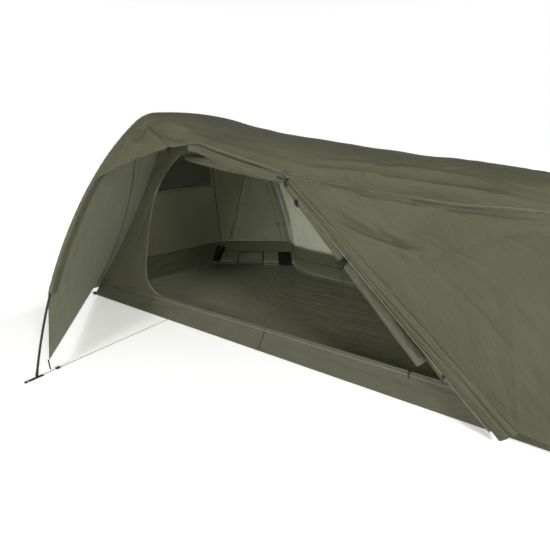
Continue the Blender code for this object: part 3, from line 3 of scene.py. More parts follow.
import bpy
import numpy as np
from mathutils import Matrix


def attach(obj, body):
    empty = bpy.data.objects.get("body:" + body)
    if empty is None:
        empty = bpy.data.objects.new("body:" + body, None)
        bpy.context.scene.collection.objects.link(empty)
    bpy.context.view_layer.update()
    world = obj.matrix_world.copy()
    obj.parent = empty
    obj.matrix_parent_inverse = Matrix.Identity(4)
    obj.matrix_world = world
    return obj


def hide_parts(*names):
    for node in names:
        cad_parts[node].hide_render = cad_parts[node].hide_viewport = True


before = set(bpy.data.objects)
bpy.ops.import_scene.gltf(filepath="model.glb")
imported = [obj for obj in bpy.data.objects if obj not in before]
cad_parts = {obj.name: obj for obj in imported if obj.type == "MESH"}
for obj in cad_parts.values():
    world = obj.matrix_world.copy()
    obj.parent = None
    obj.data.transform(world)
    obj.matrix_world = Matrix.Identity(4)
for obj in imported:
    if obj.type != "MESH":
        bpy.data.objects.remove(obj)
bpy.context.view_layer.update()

originShift = np.array([-0.62235, 0.0, 0.0])  # from the hoop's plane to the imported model's origin
fullTurn = 2 * math.pi


# Camera, at the photograph's angle

cameraView = {
    "place": (0.80535, -1.4743, 0.8009),
    "tiltDown": 17.85,  # degrees below level
    "turnLeft": 33.86,  # degrees from straight across the tent
    "lens": 24.218,
    "sensor": 36.0,
}

cameraData = bpy.data.cameras.new("camera")
cameraData.lens = cameraView["lens"]
cameraData.sensor_width = cameraView["sensor"]
cameraData.clip_start = 0.01
cameraData.clip_end = 60.0
camera = bpy.data.objects.new("camera", cameraData)
camera.location = cameraView["place"]
camera.rotation_euler = (math.radians(90 - cameraView["tiltDown"]), 0.0, math.radians(cameraView["turnLeft"]))
bpy.context.scene.collection.objects.link(camera)
bpy.context.scene.camera = camera
print("camera ready")


# Materials


def toLinear(hexColour):
    # each channel c from sRGB: c / 12.92 below 0.04045, else ((c + 0.055) / 1.055) to the power 2.4
    channels = [int(hexColour[k : k + 2], 16) / 255 for k in (1, 3, 5)]
    return tuple(c / 12.92 if c <= 0.04045 else ((c + 0.055) / 1.055) ** 2.4 for c in channels) + (1.0,)


def addNode(material, kind, links=None, values=None, output=0, **settings):
    # one node with its settings, its inputs' values and their links; gives the output that the next one takes
    node = material.node_tree.nodes.new("ShaderNode" + kind)
    for name, value in settings.items():
        setattr(node, name, value)
    for name, value in (values or {}).items():
        node.inputs[name].default_value = value
    for name, source in (links or {}).items():
        material.node_tree.links.new(source, node.inputs[name])
    return node.outputs[output] if node.outputs else None


def startMaterial(name):
    material = bpy.data.materials.new(name)
    material.use_nodes = True
    material.node_tree.nodes.clear()
    return material


def finishMaterial(material, look, tone, links, values):
    # the look's two colours, mixed by the tone, in one shader; thin cloth lets light through as well
    colours = {6: toLinear(look["dark"]), 7: toLinear(look["light"])}
    colour = addNode(material, "Mix", {0: tone}, colours, 2, data_type="RGBA")
    shader = addNode(material, "BsdfPrincipled", {"Base Color": colour, **links}, values)
    if "through" in look:
        tint = {"Color": toLinear(look["through"])}
        glow = addNode(material, "BsdfTranslucent", {"Normal": links["Normal"]}, tint)
        shader = addNode(material, "MixShader", {1: shader, 2: glow}, {"Fac": look["translucency"]})
    addNode(material, "OutputMaterial", {"Surface": shader})
    return material


waveTurn = 0.31416  # a Wave texture's sine turns once in this much of its scaled place


def crossedThreads(material, place, periods, sharpness, operation="MULTIPLY"):
    # evenly spaced lines both ways: sine waves of two periods, each raised to a power, then put together
    lines = {}
    for k, axis in enumerate("XY"):
        values = {"Scale": waveTurn / periods[k], "Distortion": 0.0}
        wave = addNode(material, "TexWave", {"Vector": place}, values, "Fac", bands_direction=axis)
        lines[k] = addNode(material, "Math", {0: wave}, {1: sharpness}, operation="POWER")
    return addNode(material, "Math", lines, operation=operation)


def nylonCloth(name, look):
    # Woven nylon. Real ripstop has a heavier thread every 5 mm and 0.2 mm threads between, too fine for the
    # render, so the weave is drawn at look["weave"]. A soft sheen and some light coming through.
    material = startMaterial(name)
    place = addNode(material, "UVMap", uv_map="cloth")
    values = {"Scale": 1 / look["patch"], "Detail": 5.0, "Roughness": 0.6}
    patches = addNode(material, "TexNoise", {"Vector": place}, values, "Fac")
    lines = crossedThreads(material, place, [look["ripstop"]] * 2, 14.0, "MAXIMUM")
    tone = addNode(material, "Math", {0: lines, 2: patches}, {1: look["lineTone"]}, operation="MULTIPLY_ADD")
    threads = crossedThreads(material, place, [look["weave"]] * 2, 1.0)
    relief = addNode(material, "Math", {0: lines, 2: threads}, {1: 1.6}, operation="MULTIPLY_ADD")
    # fine folds run longer one way than the other
    drawn = addNode(material, "Mapping", {"Vector": place}, {"Scale": look["grain"]})
    values = {"Scale": 1 / look["crumple"], "Detail": 7.0, "Roughness": 0.62}
    crumple = addNode(material, "TexNoise", {"Vector": drawn}, values, "Fac")
    values = {"Strength": look["crumpleStrength"], "Distance": 0.016}
    folds = addNode(material, "Bump", {"Height": crumple}, values)
    values = {"Strength": look["weaveStrength"], "Distance": 0.0004}
    bump = addNode(material, "Bump", {"Height": relief, "Normal": folds}, values)
    values = {
        "Roughness": look["roughness"], "IOR": 1.5, "Specular IOR Level": look["gloss"],
        "Sheen Weight": look["sheen"], "Sheen Roughness": 0.45,
    }
    return finishMaterial(material, look, tone, {"Normal": bump}, values)


# Each finish below is a material and its slot.
# The fly is coated ripstop nylon, olive drab: satin, a little light comes through.
flyCloth = (nylonCloth("coatedRipstopNylon", {
    "dark": "#4b4c3c", "light": "#62634f", "through": "#d0d2c4", "translucency": 0.44, "roughness": 0.62,
    "gloss": 0.16, "sheen": 0.0, "ripstop": 0.007, "weave": 0.0016, "patch": 0.30, "lineTone": 0.18,
    "crumple": 0.055, "grain": (1.0, 0.30, 1.0), "crumpleStrength": 1.0, "weaveStrength": 0.30,
}), "fly_nylon")
# uncoated inner tent nylon, lighter and matt
innerCloth = (nylonCloth("uncoatedNylon", {
    "dark": "#5c5d4c", "light": "#727360", "through": "#e2e4d8", "translucency": 0.58, "roughness": 0.66,
    "gloss": 0.22, "sheen": 0.05, "ripstop": 0.006, "weave": 0.0014, "patch": 0.22, "lineTone": 0.07,
    "crumple": 0.040, "grain": (1.0, 0.45, 1.0), "crumpleStrength": 0.65, "weaveStrength": 0.25,
}), "inner_nylon")
# coated groundsheet nylon for the floor, slightly glossy, and hardly any light through
floorCloth = (nylonCloth("coatedGroundsheetNylon", {
    "dark": "#55563f", "light": "#73745a", "through": "#8a8b78", "translucency": 0.04, "roughness": 0.42,
    "gloss": 0.45, "sheen": 0.08, "ripstop": 0.006, "weave": 0.0014, "patch": 0.16, "lineTone": 0.05,
    "crumple": 0.045, "grain": (0.30, 1.0, 1.0), "crumpleStrength": 0.9, "weaveStrength": 0.20,
}), "groundsheet")
# the bathtub walls are the same cloth, with light behind them
tubCloth = (nylonCloth("coatedBathtubNylon", {
    "dark": "#4f5042", "light": "#636453", "through": "#c6c8b8", "translucency": 0.38, "roughness": 0.55,
    "gloss": 0.22, "sheen": 0.0, "ripstop": 0.006, "weave": 0.0014, "patch": 0.16, "lineTone": 0.05,
    "crumple": 0.035, "grain": (0.30, 1.0, 1.0), "crumpleStrength": 0.7, "weaveStrength": 0.20,
}), "groundsheet")


def knittedMesh(name, look):
    # Insect net of knitted polyester. Real holes are about 1 mm, so they are drawn at look["hole"].
    # It gives the eye a soft veil: the threads show, and what is behind them shows between.
    material = startMaterial(name)
    place = addNode(material, "UVMap", uv_map="cloth")
    net = crossedThreads(material, place, (look["hole"], look["hole"] * 0.87), 0.7)
    patches = addNode(material, "TexNoise", {"Vector": place}, {"Scale": 14.0, "Detail": 3.0}, "Fac")
    values = {"From Min": 0.0, "From Max": 1.0, "To Min": look["thread"], "To Max": look["gap"]}
    cover = addNode(material, "MapRange", {"Value": net}, values)
    values = {"Roughness": 0.85, "Specular IOR Level": 0.2}
    return finishMaterial(material, look, patches, {"Alpha": cover}, values)


paleNet, darkNet, oliveNet = (
    (
        knittedMesh(name, {"dark": dark, "light": light, "hole": 0.003, "thread": thread, "gap": gap}),
        "insect_mesh",
    )
    for name, dark, light, thread, gap in (
        ("knittedPolyesterNet", "#9c9e8c", "#b6b8a6", 0.52, 0.18),
        ("darkPolyesterNet", "#37382c", "#4a4b3d", 0.78, 0.40),
        ("olivePolyesterNet", "#74756a", "#8c8d7e", 0.66, 0.30),
    )
)


def wovenTape(name, look):
    # Webbing and binding: ribs run across the tape at look["rib"], with the fine crossing threads between
    material = startMaterial(name)
    place = addNode(material, "UVMap", uv_map="cloth")
    weave = crossedThreads(material, place, (look["rib"] * 1.3, look["rib"]), 1.0)
    wear = addNode(material, "TexNoise", {"Vector": place}, {"Scale": 60.0, "Detail": 4.0}, "Fac")
    tone = addNode(material, "Math", {0: weave, 2: wear}, {1: 0.35}, operation="MULTIPLY_ADD")
    bump = addNode(material, "Bump", {"Height": weave}, {"Strength": 0.6, "Distance": 0.0005})
    values = {"Roughness": 0.80, "Specular IOR Level": 0.25, "Sheen Weight": 0.05}
    return finishMaterial(material, look, tone, {"Normal": bump}, values)


blackWebbing, oliveTape, paleTape, seamTape, darkTape = (
    (wovenTape(name, {"dark": dark, "light": light, "rib": rib}), "webbing")
    for name, dark, light, rib in (
        ("wovenPolyesterWebbing", "#0c0c0b", "#242421", 0.0018),
        ("wovenBindingTape", "#4c4d3c", "#6a6b58", 0.0016),
        ("paleBindingTape", "#63645a", "#7f8072", 0.0016),
        ("foldedSeamTape", "#434435", "#585948", 0.0016),
        ("darkBindingTape", "#15160f", "#2b2c21", 0.0016),
    )
)


def braidedCord(name, look):
    # Braided cord: two sets of strands cross at a slant, drawn from the cord's own UV map
    material = startMaterial(name)
    place = addNode(material, "UVMap", uv_map="cloth")
    turned = addNode(material, "Mapping", {"Vector": place}, {"Rotation": (0.0, 0.0, math.radians(38))})
    braid = crossedThreads(material, turned, [look["strand"]] * 2, 1.0)
    bump = addNode(material, "Bump", {"Height": braid}, {"Strength": 0.7, "Distance": 0.0004})
    return finishMaterial(material, look, braid, {"Normal": bump}, {"Roughness": 0.7, "Sheen Weight": 0.2})


greyCord = (
    braidedCord("braidedGreyCord", {"dark": "#5c5c54", "light": "#8f8f84", "strand": 0.0012}), "guy_cord",
)
blackBraid = braidedCord("braidedBlackCord", {"dark": "#080808", "light": "#1d1d1b", "strand": 0.0012})
tieCord, elasticCord = (blackBraid, "webbing"), (blackBraid, "guy_cord")


def mouldedPlastic(name, look):
    # Injection moulded nylon or acetal: a fine spark-eroded grain of about 0.3 mm, drawn at 0.8 mm
    material = startMaterial(name)
    place = addNode(material, "TexCoord", output="Object")
    grain = addNode(material, "TexNoise", {"Vector": place}, {"Scale": 1 / 0.0008, "Detail": 3.0}, "Fac")
    scuffs = addNode(material, "TexNoise", {"Vector": place}, {"Scale": 1 / 0.006, "Detail": 5.0}, "Fac")
    bump = addNode(material, "Bump", {"Height": grain}, {"Strength": 0.25, "Distance": 0.0002})
    values = {
        "From Min": 0.3, "From Max": 0.7, "To Min": look["rough"] - 0.06, "To Max": look["rough"] + 0.10,
    }
    rough = addNode(material, "MapRange", {"Value": scuffs}, values)
    return finishMaterial(material, look, scuffs, {"Roughness": rough, "Normal": bump}, {"IOR": 1.5})


olivePlastic = (mouldedPlastic("oliveNylonCoil", {"dark": "#3c3d2f", "light": "#55564a", "rough": 0.45}),
                "moulded_plastic")
blackPlastic = (mouldedPlastic("mouldedAcetal", {"dark": "#0b0b0b", "light": "#1c1c1b", "rough": 0.40}),
                "moulded_plastic")


def anodisedTube(name, look):
    # Drawn aluminium tube, hard anodised black: fine draw lines along the tube and a dull metallic gloss
    material = startMaterial(name)
    place = addNode(material, "TexCoord", output="Object")
    drawn = addNode(material, "Mapping", {"Vector": place}, {"Scale": (1 / 0.0006, 1 / 0.0006, 1 / 0.05)})
    lines = addNode(material, "TexNoise", {"Vector": drawn}, {"Scale": 1.0, "Detail": 3.0}, "Fac")
    bump = addNode(material, "Bump", {"Height": lines}, {"Strength": 0.12, "Distance": 0.0002})
    return finishMaterial(material, look, lines, {"Normal": bump}, {"Metallic": 0.9, "Roughness": 0.36})


blackTube = (
    anodisedTube("hardAnodisedAluminium", {"dark": "#2a2b2a", "light": "#454644"}), "anodised_aluminium",
)
print("materials ready")


# Meshes


def unit(vectors):
    return vectors / np.maximum(np.linalg.norm(vectors, axis=-1, keepdims=True), 1e-12)


def smoothStep(t):
    # 0 to 1 with level ends: t t (3 - 2 t)
    t = np.clip(t, 0, 1)
    return t * t * (3 - 2 * t)


def runLengths(points):
    # the distance along a row of points up to each of them
    return np.concatenate([[0.0], np.cumsum(np.linalg.norm(np.diff(points, axis=0), axis=1))])


def addPiece(name, body, finish, nodes=(), sharpAngle=55.0):
    # body: corners in the hoop's coordinates, groups of faces, and a cloth map. A closed mesh whose signed
    # volume comes out negative is turned round. It rides on the tent, takes the finish's material and stands
    # for nodes.
    points, faces, uv = body
    material, slot = finish
    volume = 0.0
    for group in faces:
        for k in range(1, group.shape[1] - 1):
            a, b, c = points[group[:, 0]], points[group[:, k]], points[group[:, k + 1]]
            volume += float(np.einsum("ij,ij->", a, np.cross(b, c)))
    if volume < 0:
        faces = [group[:, ::-1] for group in faces]
    mesh = bpy.data.meshes.new(name)
    rows = [row for group in faces for row in group.tolist()]
    mesh.from_pydata((points + originShift).tolist(), [], rows)
    mesh.materials.append(material)
    corners = np.empty(len(mesh.loops), dtype=np.int32)
    mesh.loops.foreach_get("vertex_index", corners)
    layer = mesh.uv_layers.new(name="cloth")
    layer.data.foreach_set("uv", uv[corners].astype(np.float32).ravel())
    mesh.shade_smooth()
    mesh.set_sharp_from_angle(angle=math.radians(sharpAngle))
    piece = bpy.data.objects.new(name, mesh)
    bpy.context.scene.collection.objects.link(piece)
    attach(piece, "tent_body")
    if nodes:
        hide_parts(*nodes)
    return piece


def clothMap(points):
    # u runs in metres along each row from its middle, v in metres up the middle column
    across = np.linalg.norm(np.diff(points, axis=1), axis=2)
    u = np.concatenate([np.zeros((points.shape[0], 1)), np.cumsum(across, axis=1)], axis=1)
    u = u - u[:, [points.shape[1] // 2]]
    v = runLengths(points[:, points.shape[1] // 2])[:, None] + 0 * u
    return np.stack([u, v], axis=2)


def surfaceNormals(points, inside):
    # the cross product of the steps along the two grid directions, turned away from the inside point
    normals = unit(np.cross(np.gradient(points, axis=1), np.gradient(points, axis=0)))
    facing = np.einsum("ijk,ijk->", normals, points - inside)
    return normals if facing > 0 else -normals


# a point inside the tent, which the cloth's outer face looks away from
tentMiddle = np.array([0.60, 0.05, 0.32])
clothThickness = 0.0006  # real cloth is about 0.1 mm; this is the least that holds as a solid here
clothOf = {}  # each panel's outer grid by its piece's name, for the tapes that lie on it


def clothShell(points, thickness, inside=tentMiddle):
    # an outer grid, an inner grid that lies thickness behind it along the normals, and a rim between the two
    rows, columns = points.shape[:2]
    count = rows * columns
    index = np.arange(count).reshape(rows, columns)
    outer = np.stack([index[:-1, :-1], index[:-1, 1:], index[1:, 1:], index[1:, :-1]], axis=2).reshape(-1, 4)
    rim = np.concatenate([index[0, :-1], index[:-1, -1], index[-1, :0:-1], index[:0:-1, 0]])
    following = np.roll(rim, -1)
    rimFaces = np.stack([following, rim, rim + count, following + count], axis=1)
    inner = points - surfaceNormals(points, inside) * thickness
    uv = clothMap(points).reshape(-1, 2)
    corners = np.concatenate([points.reshape(-1, 3), inner.reshape(-1, 3)])
    return corners, [outer, (outer + count)[:, ::-1], rimFaces], np.concatenate([uv, uv])


def addPanel(name, points, finish, nodes, inside=tentMiddle):
    piece = addPiece(name, clothShell(points, clothThickness, inside), finish, nodes)
    clothOf[name] = points


def edgeFade(shape, acrossRows, acrossColumns=None):
    # 0 on the panel's edges, rising smoothly to 1 at these shares of its height and width inside them
    acrossColumns = acrossRows if acrossColumns is None else acrossColumns
    a = np.linspace(0, 1, shape[0])[:, None]
    b = np.linspace(0, 1, shape[1])[None, :]
    return smoothStep(np.minimum(np.minimum(a, 1 - a) / acrossRows, np.minimum(b, 1 - b) / acrossColumns))


def slack(points, wavelength, seed):
    # soft unevenness: eight sine waves in seeded directions over the panel's own metres, mostly from -1 to 1
    random = np.random.default_rng(seed)
    uv = clothMap(points)
    total = np.zeros(points.shape[:2])
    for k in range(8):
        angle = random.uniform(0, fullTurn)
        length = wavelength * random.uniform(0.6, 1.7)
        phase = random.uniform(0, fullTurn)
        along = uv[..., 0] * math.cos(angle) + uv[..., 1] * math.sin(angle)
        total += np.sin(fullTurn * along / length + phase)
    return total / 4.0


def creases(points, anchor, direction, facing, spread, count, reach, seed, sharp=1.5):
    # folds that run out from an anchor: ridges by the angle at the anchor, within spread of a direction,
    # highest a little way out and fading with distance
    random = np.random.default_rng(seed)
    away = points - np.asarray(anchor)
    distance = np.linalg.norm(away, axis=2)
    axis = unit(np.asarray(direction, dtype=float))
    side = unit(np.cross(np.asarray(facing, dtype=float), axis))
    angle = np.arctan2(away @ side, away @ axis)
    total = np.zeros(points.shape[:2])
    for k in range(count):
        centre = spread * (2 * (k + random.uniform(0.2, 0.8)) / count - 1)
        width = spread / count * random.uniform(0.30, 0.60)
        height = random.uniform(0.4, 1.0) * (1 if k % 2 else -0.8)
        bend = random.uniform(-0.5, 0.5) * distance
        total += height * np.exp(-np.abs((angle - centre - bend) / width) ** sharp)
    rise = distance / (distance + 0.05)
    return total * rise * np.exp(-distance / reach)


def creasePath(points, path, width, height, taper=0.15):
    # a ridge, or a valley where height is below 0, along a path: a bell over the distance from it, which runs
    # out at the path's ends
    path = np.asarray(path, dtype=float)
    lengths = np.linalg.norm(np.diff(path, axis=0), axis=1)
    nearest, place = np.full(points.shape[:2], 1e9), np.zeros(points.shape[:2])
    for k, (start, end) in enumerate(zip(path, path[1:])):
        run = end - start
        t = np.clip(((points - start) @ run) / (run @ run), 0, 1)
        distance = np.linalg.norm(points - (start + run * t[..., None]), axis=2)
        place = np.where(distance < nearest, (lengths[:k].sum() + lengths[k] * t) / lengths.sum(), place)
        nearest = np.minimum(nearest, distance)
    return height * np.exp(-((nearest / width) ** 2)) * smoothStep(np.minimum(place, 1 - place) / taper)


def displaced(points, height, inside=tentMiddle):
    return points + surfaceNormals(points, inside) * height[..., None]


def addFolded(name, smooth, finish, node, folds, inside=tentMiddle, gain=1.0):
    # A panel with its folds, which fade out at its edges over two shares. Fans hold a height and what creases
    # takes, paths hold a path, a half width and a height, and waves hold a height, a wavelength and a seed.
    height = np.zeros(smooth.shape[:2])
    for rise, *fan in folds.get("fans", ()):
        height += rise * creases(smooth, *fan)
    for path, width, rise in folds.get("paths", ()):
        height += creasePath(smooth, path, width, rise)
    for rise, wavelength, seed in folds["waves"]:
        height += rise * slack(smooth, wavelength, seed)
    height *= edgeFade(smooth.shape, *folds["fade"]) * gain
    addPanel(name, displaced(smooth, height, inside), finish, [node], inside=inside)


def fromPolyline(points):
    # a function of shares 0 to 1 along the points by length, as arrays
    points = np.asarray(points, dtype=float)
    steps = runLengths(points)
    table = steps / steps[-1]
    return lambda t: np.stack([np.interp(t, table, points[:, k]) for k in range(3)], axis=-1)


def lerp(start, end, t):
    return start + (end - start) * np.asarray(t, dtype=float)[..., None]


def between(start, end):
    return lambda t: lerp(np.asarray(start, dtype=float), np.asarray(end, dtype=float), t)


def hollowed(start, end, offset):
    # a line drawn aside by offset times 4 t (1 - t)
    line, offset = between(start, end), np.asarray(offset, dtype=float)
    return lambda t: line(t) + offset * (4 * np.asarray(t) * (1 - np.asarray(t)))[..., None]


def coons(foot, top, left, right, rows, columns):
    # a surface between four edges: both ruled surfaces added, less the bilinear one through the corners
    a, b = np.linspace(0, 1, rows), np.linspace(0, 1, columns)
    up, across = a[:, None, None], b[None, :, None]
    ruled = foot(b)[None] * (1 - up) + top(b)[None] * up
    ruled = ruled + left(a)[:, None] * (1 - across) + right(a)[:, None] * across
    low = foot(np.array(0.0)) * (1 - across) + foot(np.array(1.0)) * across
    high = top(np.array(0.0)) * (1 - across) + top(np.array(1.0)) * across
    return ruled - low * (1 - up) - high * up


def ringFaces(index):
    turned = np.roll(index, -1, axis=1)
    return np.stack([index[:-1], turned[:-1], turned[1:], index[1:]], axis=2).reshape(-1, 4)


def carried(centres, rings):
    # a closed body through one ring of points a centre, with a middle point in each end
    steps, sides = rings.shape[:2]
    points = (centres[:, None, :] + rings).reshape(-1, 3)
    index = np.arange(steps * sides).reshape(steps, sides)
    turned = np.roll(index, -1, axis=1)
    first, last = steps * sides, steps * sides + 1
    startCap = np.stack([turned[0], index[0], np.full(sides, first)], axis=1)
    endCap = np.stack([index[-1], turned[-1], np.full(sides, last)], axis=1)
    points = np.concatenate([points, points[:sides].mean(0)[None], points[-sides:].mean(0)[None]])
    lengths = runLengths(centres)
    girth = np.linalg.norm(np.roll(rings, -1, axis=1) - rings, axis=2)
    around = np.cumsum(girth, axis=1) - girth
    uv = np.stack([around, lengths[:, None] + 0 * around], axis=2).reshape(-1, 2)
    uv = np.concatenate([uv, [[0.0, 0.0]], [[0.0, lengths[-1]]]])
    return points, [ringFaces(index), np.concatenate([startCap, endCap])], uv


def hollowBody(outer, inner, around, along):
    # two skins of rings, one inside the other, joined round both open ends, with the cloth map's two measures
    count, sides = outer.shape[:2]
    index = np.arange(count * sides).reshape(count, sides)
    turned = np.roll(index, -1, axis=1)
    skin = ringFaces(index)
    ends = [
        np.stack([row, row + count * sides, after + count * sides, after], axis=1)[:, ::order]
        for row, after, order in ((index[0], turned[0], 1), (index[-1], turned[-1], -1))
    ]
    uv = np.stack(np.broadcast_arrays(around[None, :], along[:, None]), axis=2).reshape(-1, 2)
    points = np.concatenate([outer.reshape(-1, 3), inner.reshape(-1, 3)])
    return points, [skin, (skin + count * sides)[:, ::-1], *ends], np.concatenate([uv, uv])


def spokesOf(first, second, sides):
    # unit vectors round each place of a path, in the plane of its two directions
    turn = np.linspace(0, fullTurn, sides, endpoint=False)[None, :, None]
    return first[:, None] * np.cos(turn) + second[:, None] * np.sin(turn)


def roundTube(name, path, radius, finish, nodes=(), sides=12, reference=(0, 0, 1)):
    # a round body on a path; its first spoke is the direction square to the path nearest the reference
    along = unit(np.gradient(path, axis=0))
    reference = np.broadcast_to(np.asarray(reference, dtype=float), path.shape)
    first = unit(reference - along * np.einsum("ij,ij->i", reference, along)[:, None])
    radius = np.broadcast_to(np.asarray(radius, dtype=float), (len(path),))[:, None, None]
    rings = spokesOf(first, np.cross(along, first), sides) * radius
    return addPiece(name, carried(path, rings), finish, nodes)


def flatTape(name, path, normals, width, thickness, finish, nodes=()):
    # a tape of rounded rectangular section on a path, its flat side on the surface with these normals
    along = unit(np.gradient(path, axis=0))
    across = unit(np.cross(normals, along))
    up = np.cross(along, across)
    half, edge = width / 2, thickness * 0.35
    section = np.array([
        (-half, 0.0), (half, 0.0), (half, thickness - edge), (half - edge, thickness),
        (0.0, thickness * 1.15), (-half + edge, thickness), (-half, thickness - edge),
    ])
    rings = across[:, None] * section[None, :, :1] + up[:, None] * section[None, :, 1:]
    return addPiece(name, carried(path, rings), finish, nodes)


# Hoops

mainHoopSize = {
    "halfWidth": 0.968, "height": 0.992, "middle": 0.0, "lean": 20.5,
    "leg": (1.024, 41.5), "elbow": (0.130, 23.5), "crownHalf": 0.342,
}
footHoopSize = {
    "halfWidth": 0.455, "height": 0.713, "middle": 0.060, "lean": 14.0,
    "leg": (0.600, 36.0), "elbow": (0.160, 34.0), "crownHalf": 0.240,
}
footX = 1.700  # the foot hoop's distance from the main hoop


def bentHoop(size):
    # three arcs a side: over each the direction turns evenly from upright inwards, so the way inwards grows
    # by radius (cos start - cos now) and the height by radius (sin now - sin start). Both are then stretched
    # to size.
    crownTurn = 90.0 - size["lean"] - size["leg"][1] - size["elbow"][1]
    angle, run, inward, up = math.radians(size["lean"]), 0.0, 0.0, 0.0
    rows = [np.array([[0.0, 0.0, 0.0]])]
    for length, degrees in (size["leg"], size["elbow"], (size["crownHalf"], crownTurn)):
        turn = math.radians(degrees)
        radius = length / turn
        share = np.linspace(0, 1, 41)[1:]
        now = angle + turn * share
        rows.append(np.stack([
            run + length * share,
            inward + radius * (math.cos(angle) - np.cos(now)),
            up + radius * (np.sin(now) - math.sin(angle)),
        ], axis=1))
        run, inward, up = rows[-1][-1]
        angle += turn
    half = np.concatenate(rows)
    share = half[:, 0] / (2 * run)
    y = size["halfWidth"] * (1 - half[:, 1] / inward)
    z = size["height"] * half[:, 2] / up
    hoop = {
        "share": np.concatenate([share, 1 - share[-2::-1]]),
        "y": np.concatenate([-y, y[-2::-1]]) + size["middle"],
        "z": np.concatenate([z, z[-2::-1]]),
        "middle": size["middle"],
    }
    along = unit(np.stack([np.gradient(hoop["y"]), np.gradient(hoop["z"])], axis=1))
    hoop["outY"], hoop["outZ"] = -along[:, 1], along[:, 0]
    hoop["length"] = float(np.hypot(np.diff(hoop["y"]), np.diff(hoop["z"])).sum())
    hoop["top"] = len(share) - 1
    return hoop


mainHoop, footHoop = bentHoop(mainHoopSize), bentHoop(footHoopSize)


def onHoop(hoop, share, offset=0.0, x=0.0):
    share = np.asarray(share, dtype=float)
    y = np.interp(share, hoop["share"], hoop["y"] + offset * hoop["outY"])
    z = np.interp(share, hoop["share"], hoop["z"] + offset * hoop["outZ"])
    return np.stack([np.broadcast_to(np.asarray(x, dtype=float), y.shape), y, z], axis=-1)


def outOfHoop(hoop, share):
    y = np.interp(share, hoop["share"], hoop["outY"])
    z = np.interp(share, hoop["share"], hoop["outZ"])
    return unit(np.stack([0 * y, y, z], axis=-1))


def shareAtHeight(hoop, height):
    top = hoop["top"]
    return float(np.interp(height, hoop["z"][:top], hoop["share"][:top]))


# Fly

flySize = {
    "out": 0.0050, "mainCorner": (0.911, 0.045), "footCornerInset": 0.030, "footCornerHeight": 0.030,
    "mainSleeveEnd": 0.310, "footSleeveEnd": 0.140, "hollow": 0.025, "hollowSkew": 0.6, "tubHeight": 0.200,
    "backShare": 0.700, "beakStart": 0.233, "beakPeak": 0.328, "beakPeakX": 0.330, "tieX": 0.730,
    "crease": 0.300, "hipShare": 0.342, "hipApex": 0.020, "hipHollow": (0.035, 0.105), "footReach": 0.250,
    "footInset": 0.130, "hem": 0.030, "sleeveHalf": 0.0075,
}
doorFoot = np.array([1.520, -0.385, 0.060])
headNear = np.array([-0.710, -0.310, 0.020])
headFar = np.array([-0.600, 0.620, 0.020])


def flyLine(hoop, cornerY, cornerZ, sleeveEnd):
    # the fly's edge on a hoop: along the sleeved pole, and straight from the sleeve down to the corner
    start = shareAtHeight(hoop, sleeveEnd)

    def line(share, x):
        share = np.asarray(share, dtype=float)
        mirrored = np.minimum(share, 1 - share)
        side = np.where(share < 0.5, -1.0, 1.0)
        sleeved = onHoop(hoop, share, flySize["out"], x)
        end = onHoop(hoop, np.where(share < 0.5, start, 1 - start), flySize["out"], x)
        x = np.broadcast_to(np.asarray(x, dtype=float), share.shape)
        corner = np.stack([x, hoop["middle"] + side * cornerY, np.full(share.shape, cornerZ)], axis=-1)
        return np.where((mirrored >= start)[..., None], sleeved, lerp(corner, end, mirrored / start))

    return line


footCornerY = footHoopSize["halfWidth"] - flySize["footCornerInset"]
mainLine = flyLine(mainHoop, *flySize["mainCorner"], flySize["mainSleeveEnd"])
footLine = flyLine(footHoop, footCornerY, flySize["footCornerHeight"], flySize["footSleeveEnd"])
flyStart = flySize["sleeveHalf"] + 0.0001
flyEnd = footX - flyStart


def flySurface(x, share):
    # from hoop to hoop in a straight line, then drawn in towards the middle by 4 u (1 - u), most near
    # the main hoop
    x, share = np.broadcast_arrays(np.asarray(x, dtype=float), np.asarray(share, dtype=float))
    u = np.clip(x / footX, 0, 1)
    p = mainLine(share, x) * (1 - u)[..., None] + footLine(share, x) * u[..., None]
    hollow = flySize["hollow"] * 4 * u * (1 - u) * (1 + flySize["hollowSkew"] * (1 - 2 * u))
    middle = u * footHoopSize["middle"]
    low = hollow * np.minimum(1.0, p[..., 2] / flySize["tubHeight"])
    y = middle + (p[..., 1] - middle) * (1 - low)
    return np.stack([np.clip(x, flyStart, flyEnd), y, p[..., 2] * (1 - low)], axis=-1)


def nearShare(x):
    # share of the fly's near edge: up the beak from the leg, down to the tie, then along the crease
    x = np.asarray(x, dtype=float)
    s = flySize
    climbed = 1 - np.maximum(1 - x / s["beakPeakX"], 0) ** 1.5
    rise = s["beakStart"] + (s["beakPeak"] - s["beakStart"]) * climbed
    fall = np.clip((x - s["beakPeakX"]) / (s["tieX"] - s["beakPeakX"]), 0, 1)
    return np.where(x < s["beakPeakX"], rise, s["beakPeak"] + (s["crease"] - s["beakPeak"]) * fall)


tie = flySurface(flySize["tieX"], flySize["crease"])
puckerSize = {"reach": 0.030, "wave": 0.024, "height": 0.0011, "seam": 0.006}


def seamPucker(points, atEnd, seed):
    # short gathers square to a sewn edge: a sine along it, dying away within reach
    s = puckerSize
    random = np.random.default_rng(seed)
    away = np.linalg.norm(np.diff(points, axis=0), axis=2)
    away = np.concatenate([np.zeros((1, points.shape[1])), np.cumsum(away, axis=0)])
    if atEnd:
        away = away.max(axis=0, keepdims=True) - away
    along = clothMap(points.transpose(1, 0, 2)).transpose(1, 0, 2)[..., 1]
    wave = np.sin(fullTurn * along / s["wave"] + random.uniform(0, 6))
    wave = wave + 0.6 * np.sin(fullTurn * along / (s["wave"] * 1.73) + random.uniform(0, 6))
    return s["height"] * wave * np.exp(-away / s["reach"]) * np.clip(away / s["seam"], 0, 1)


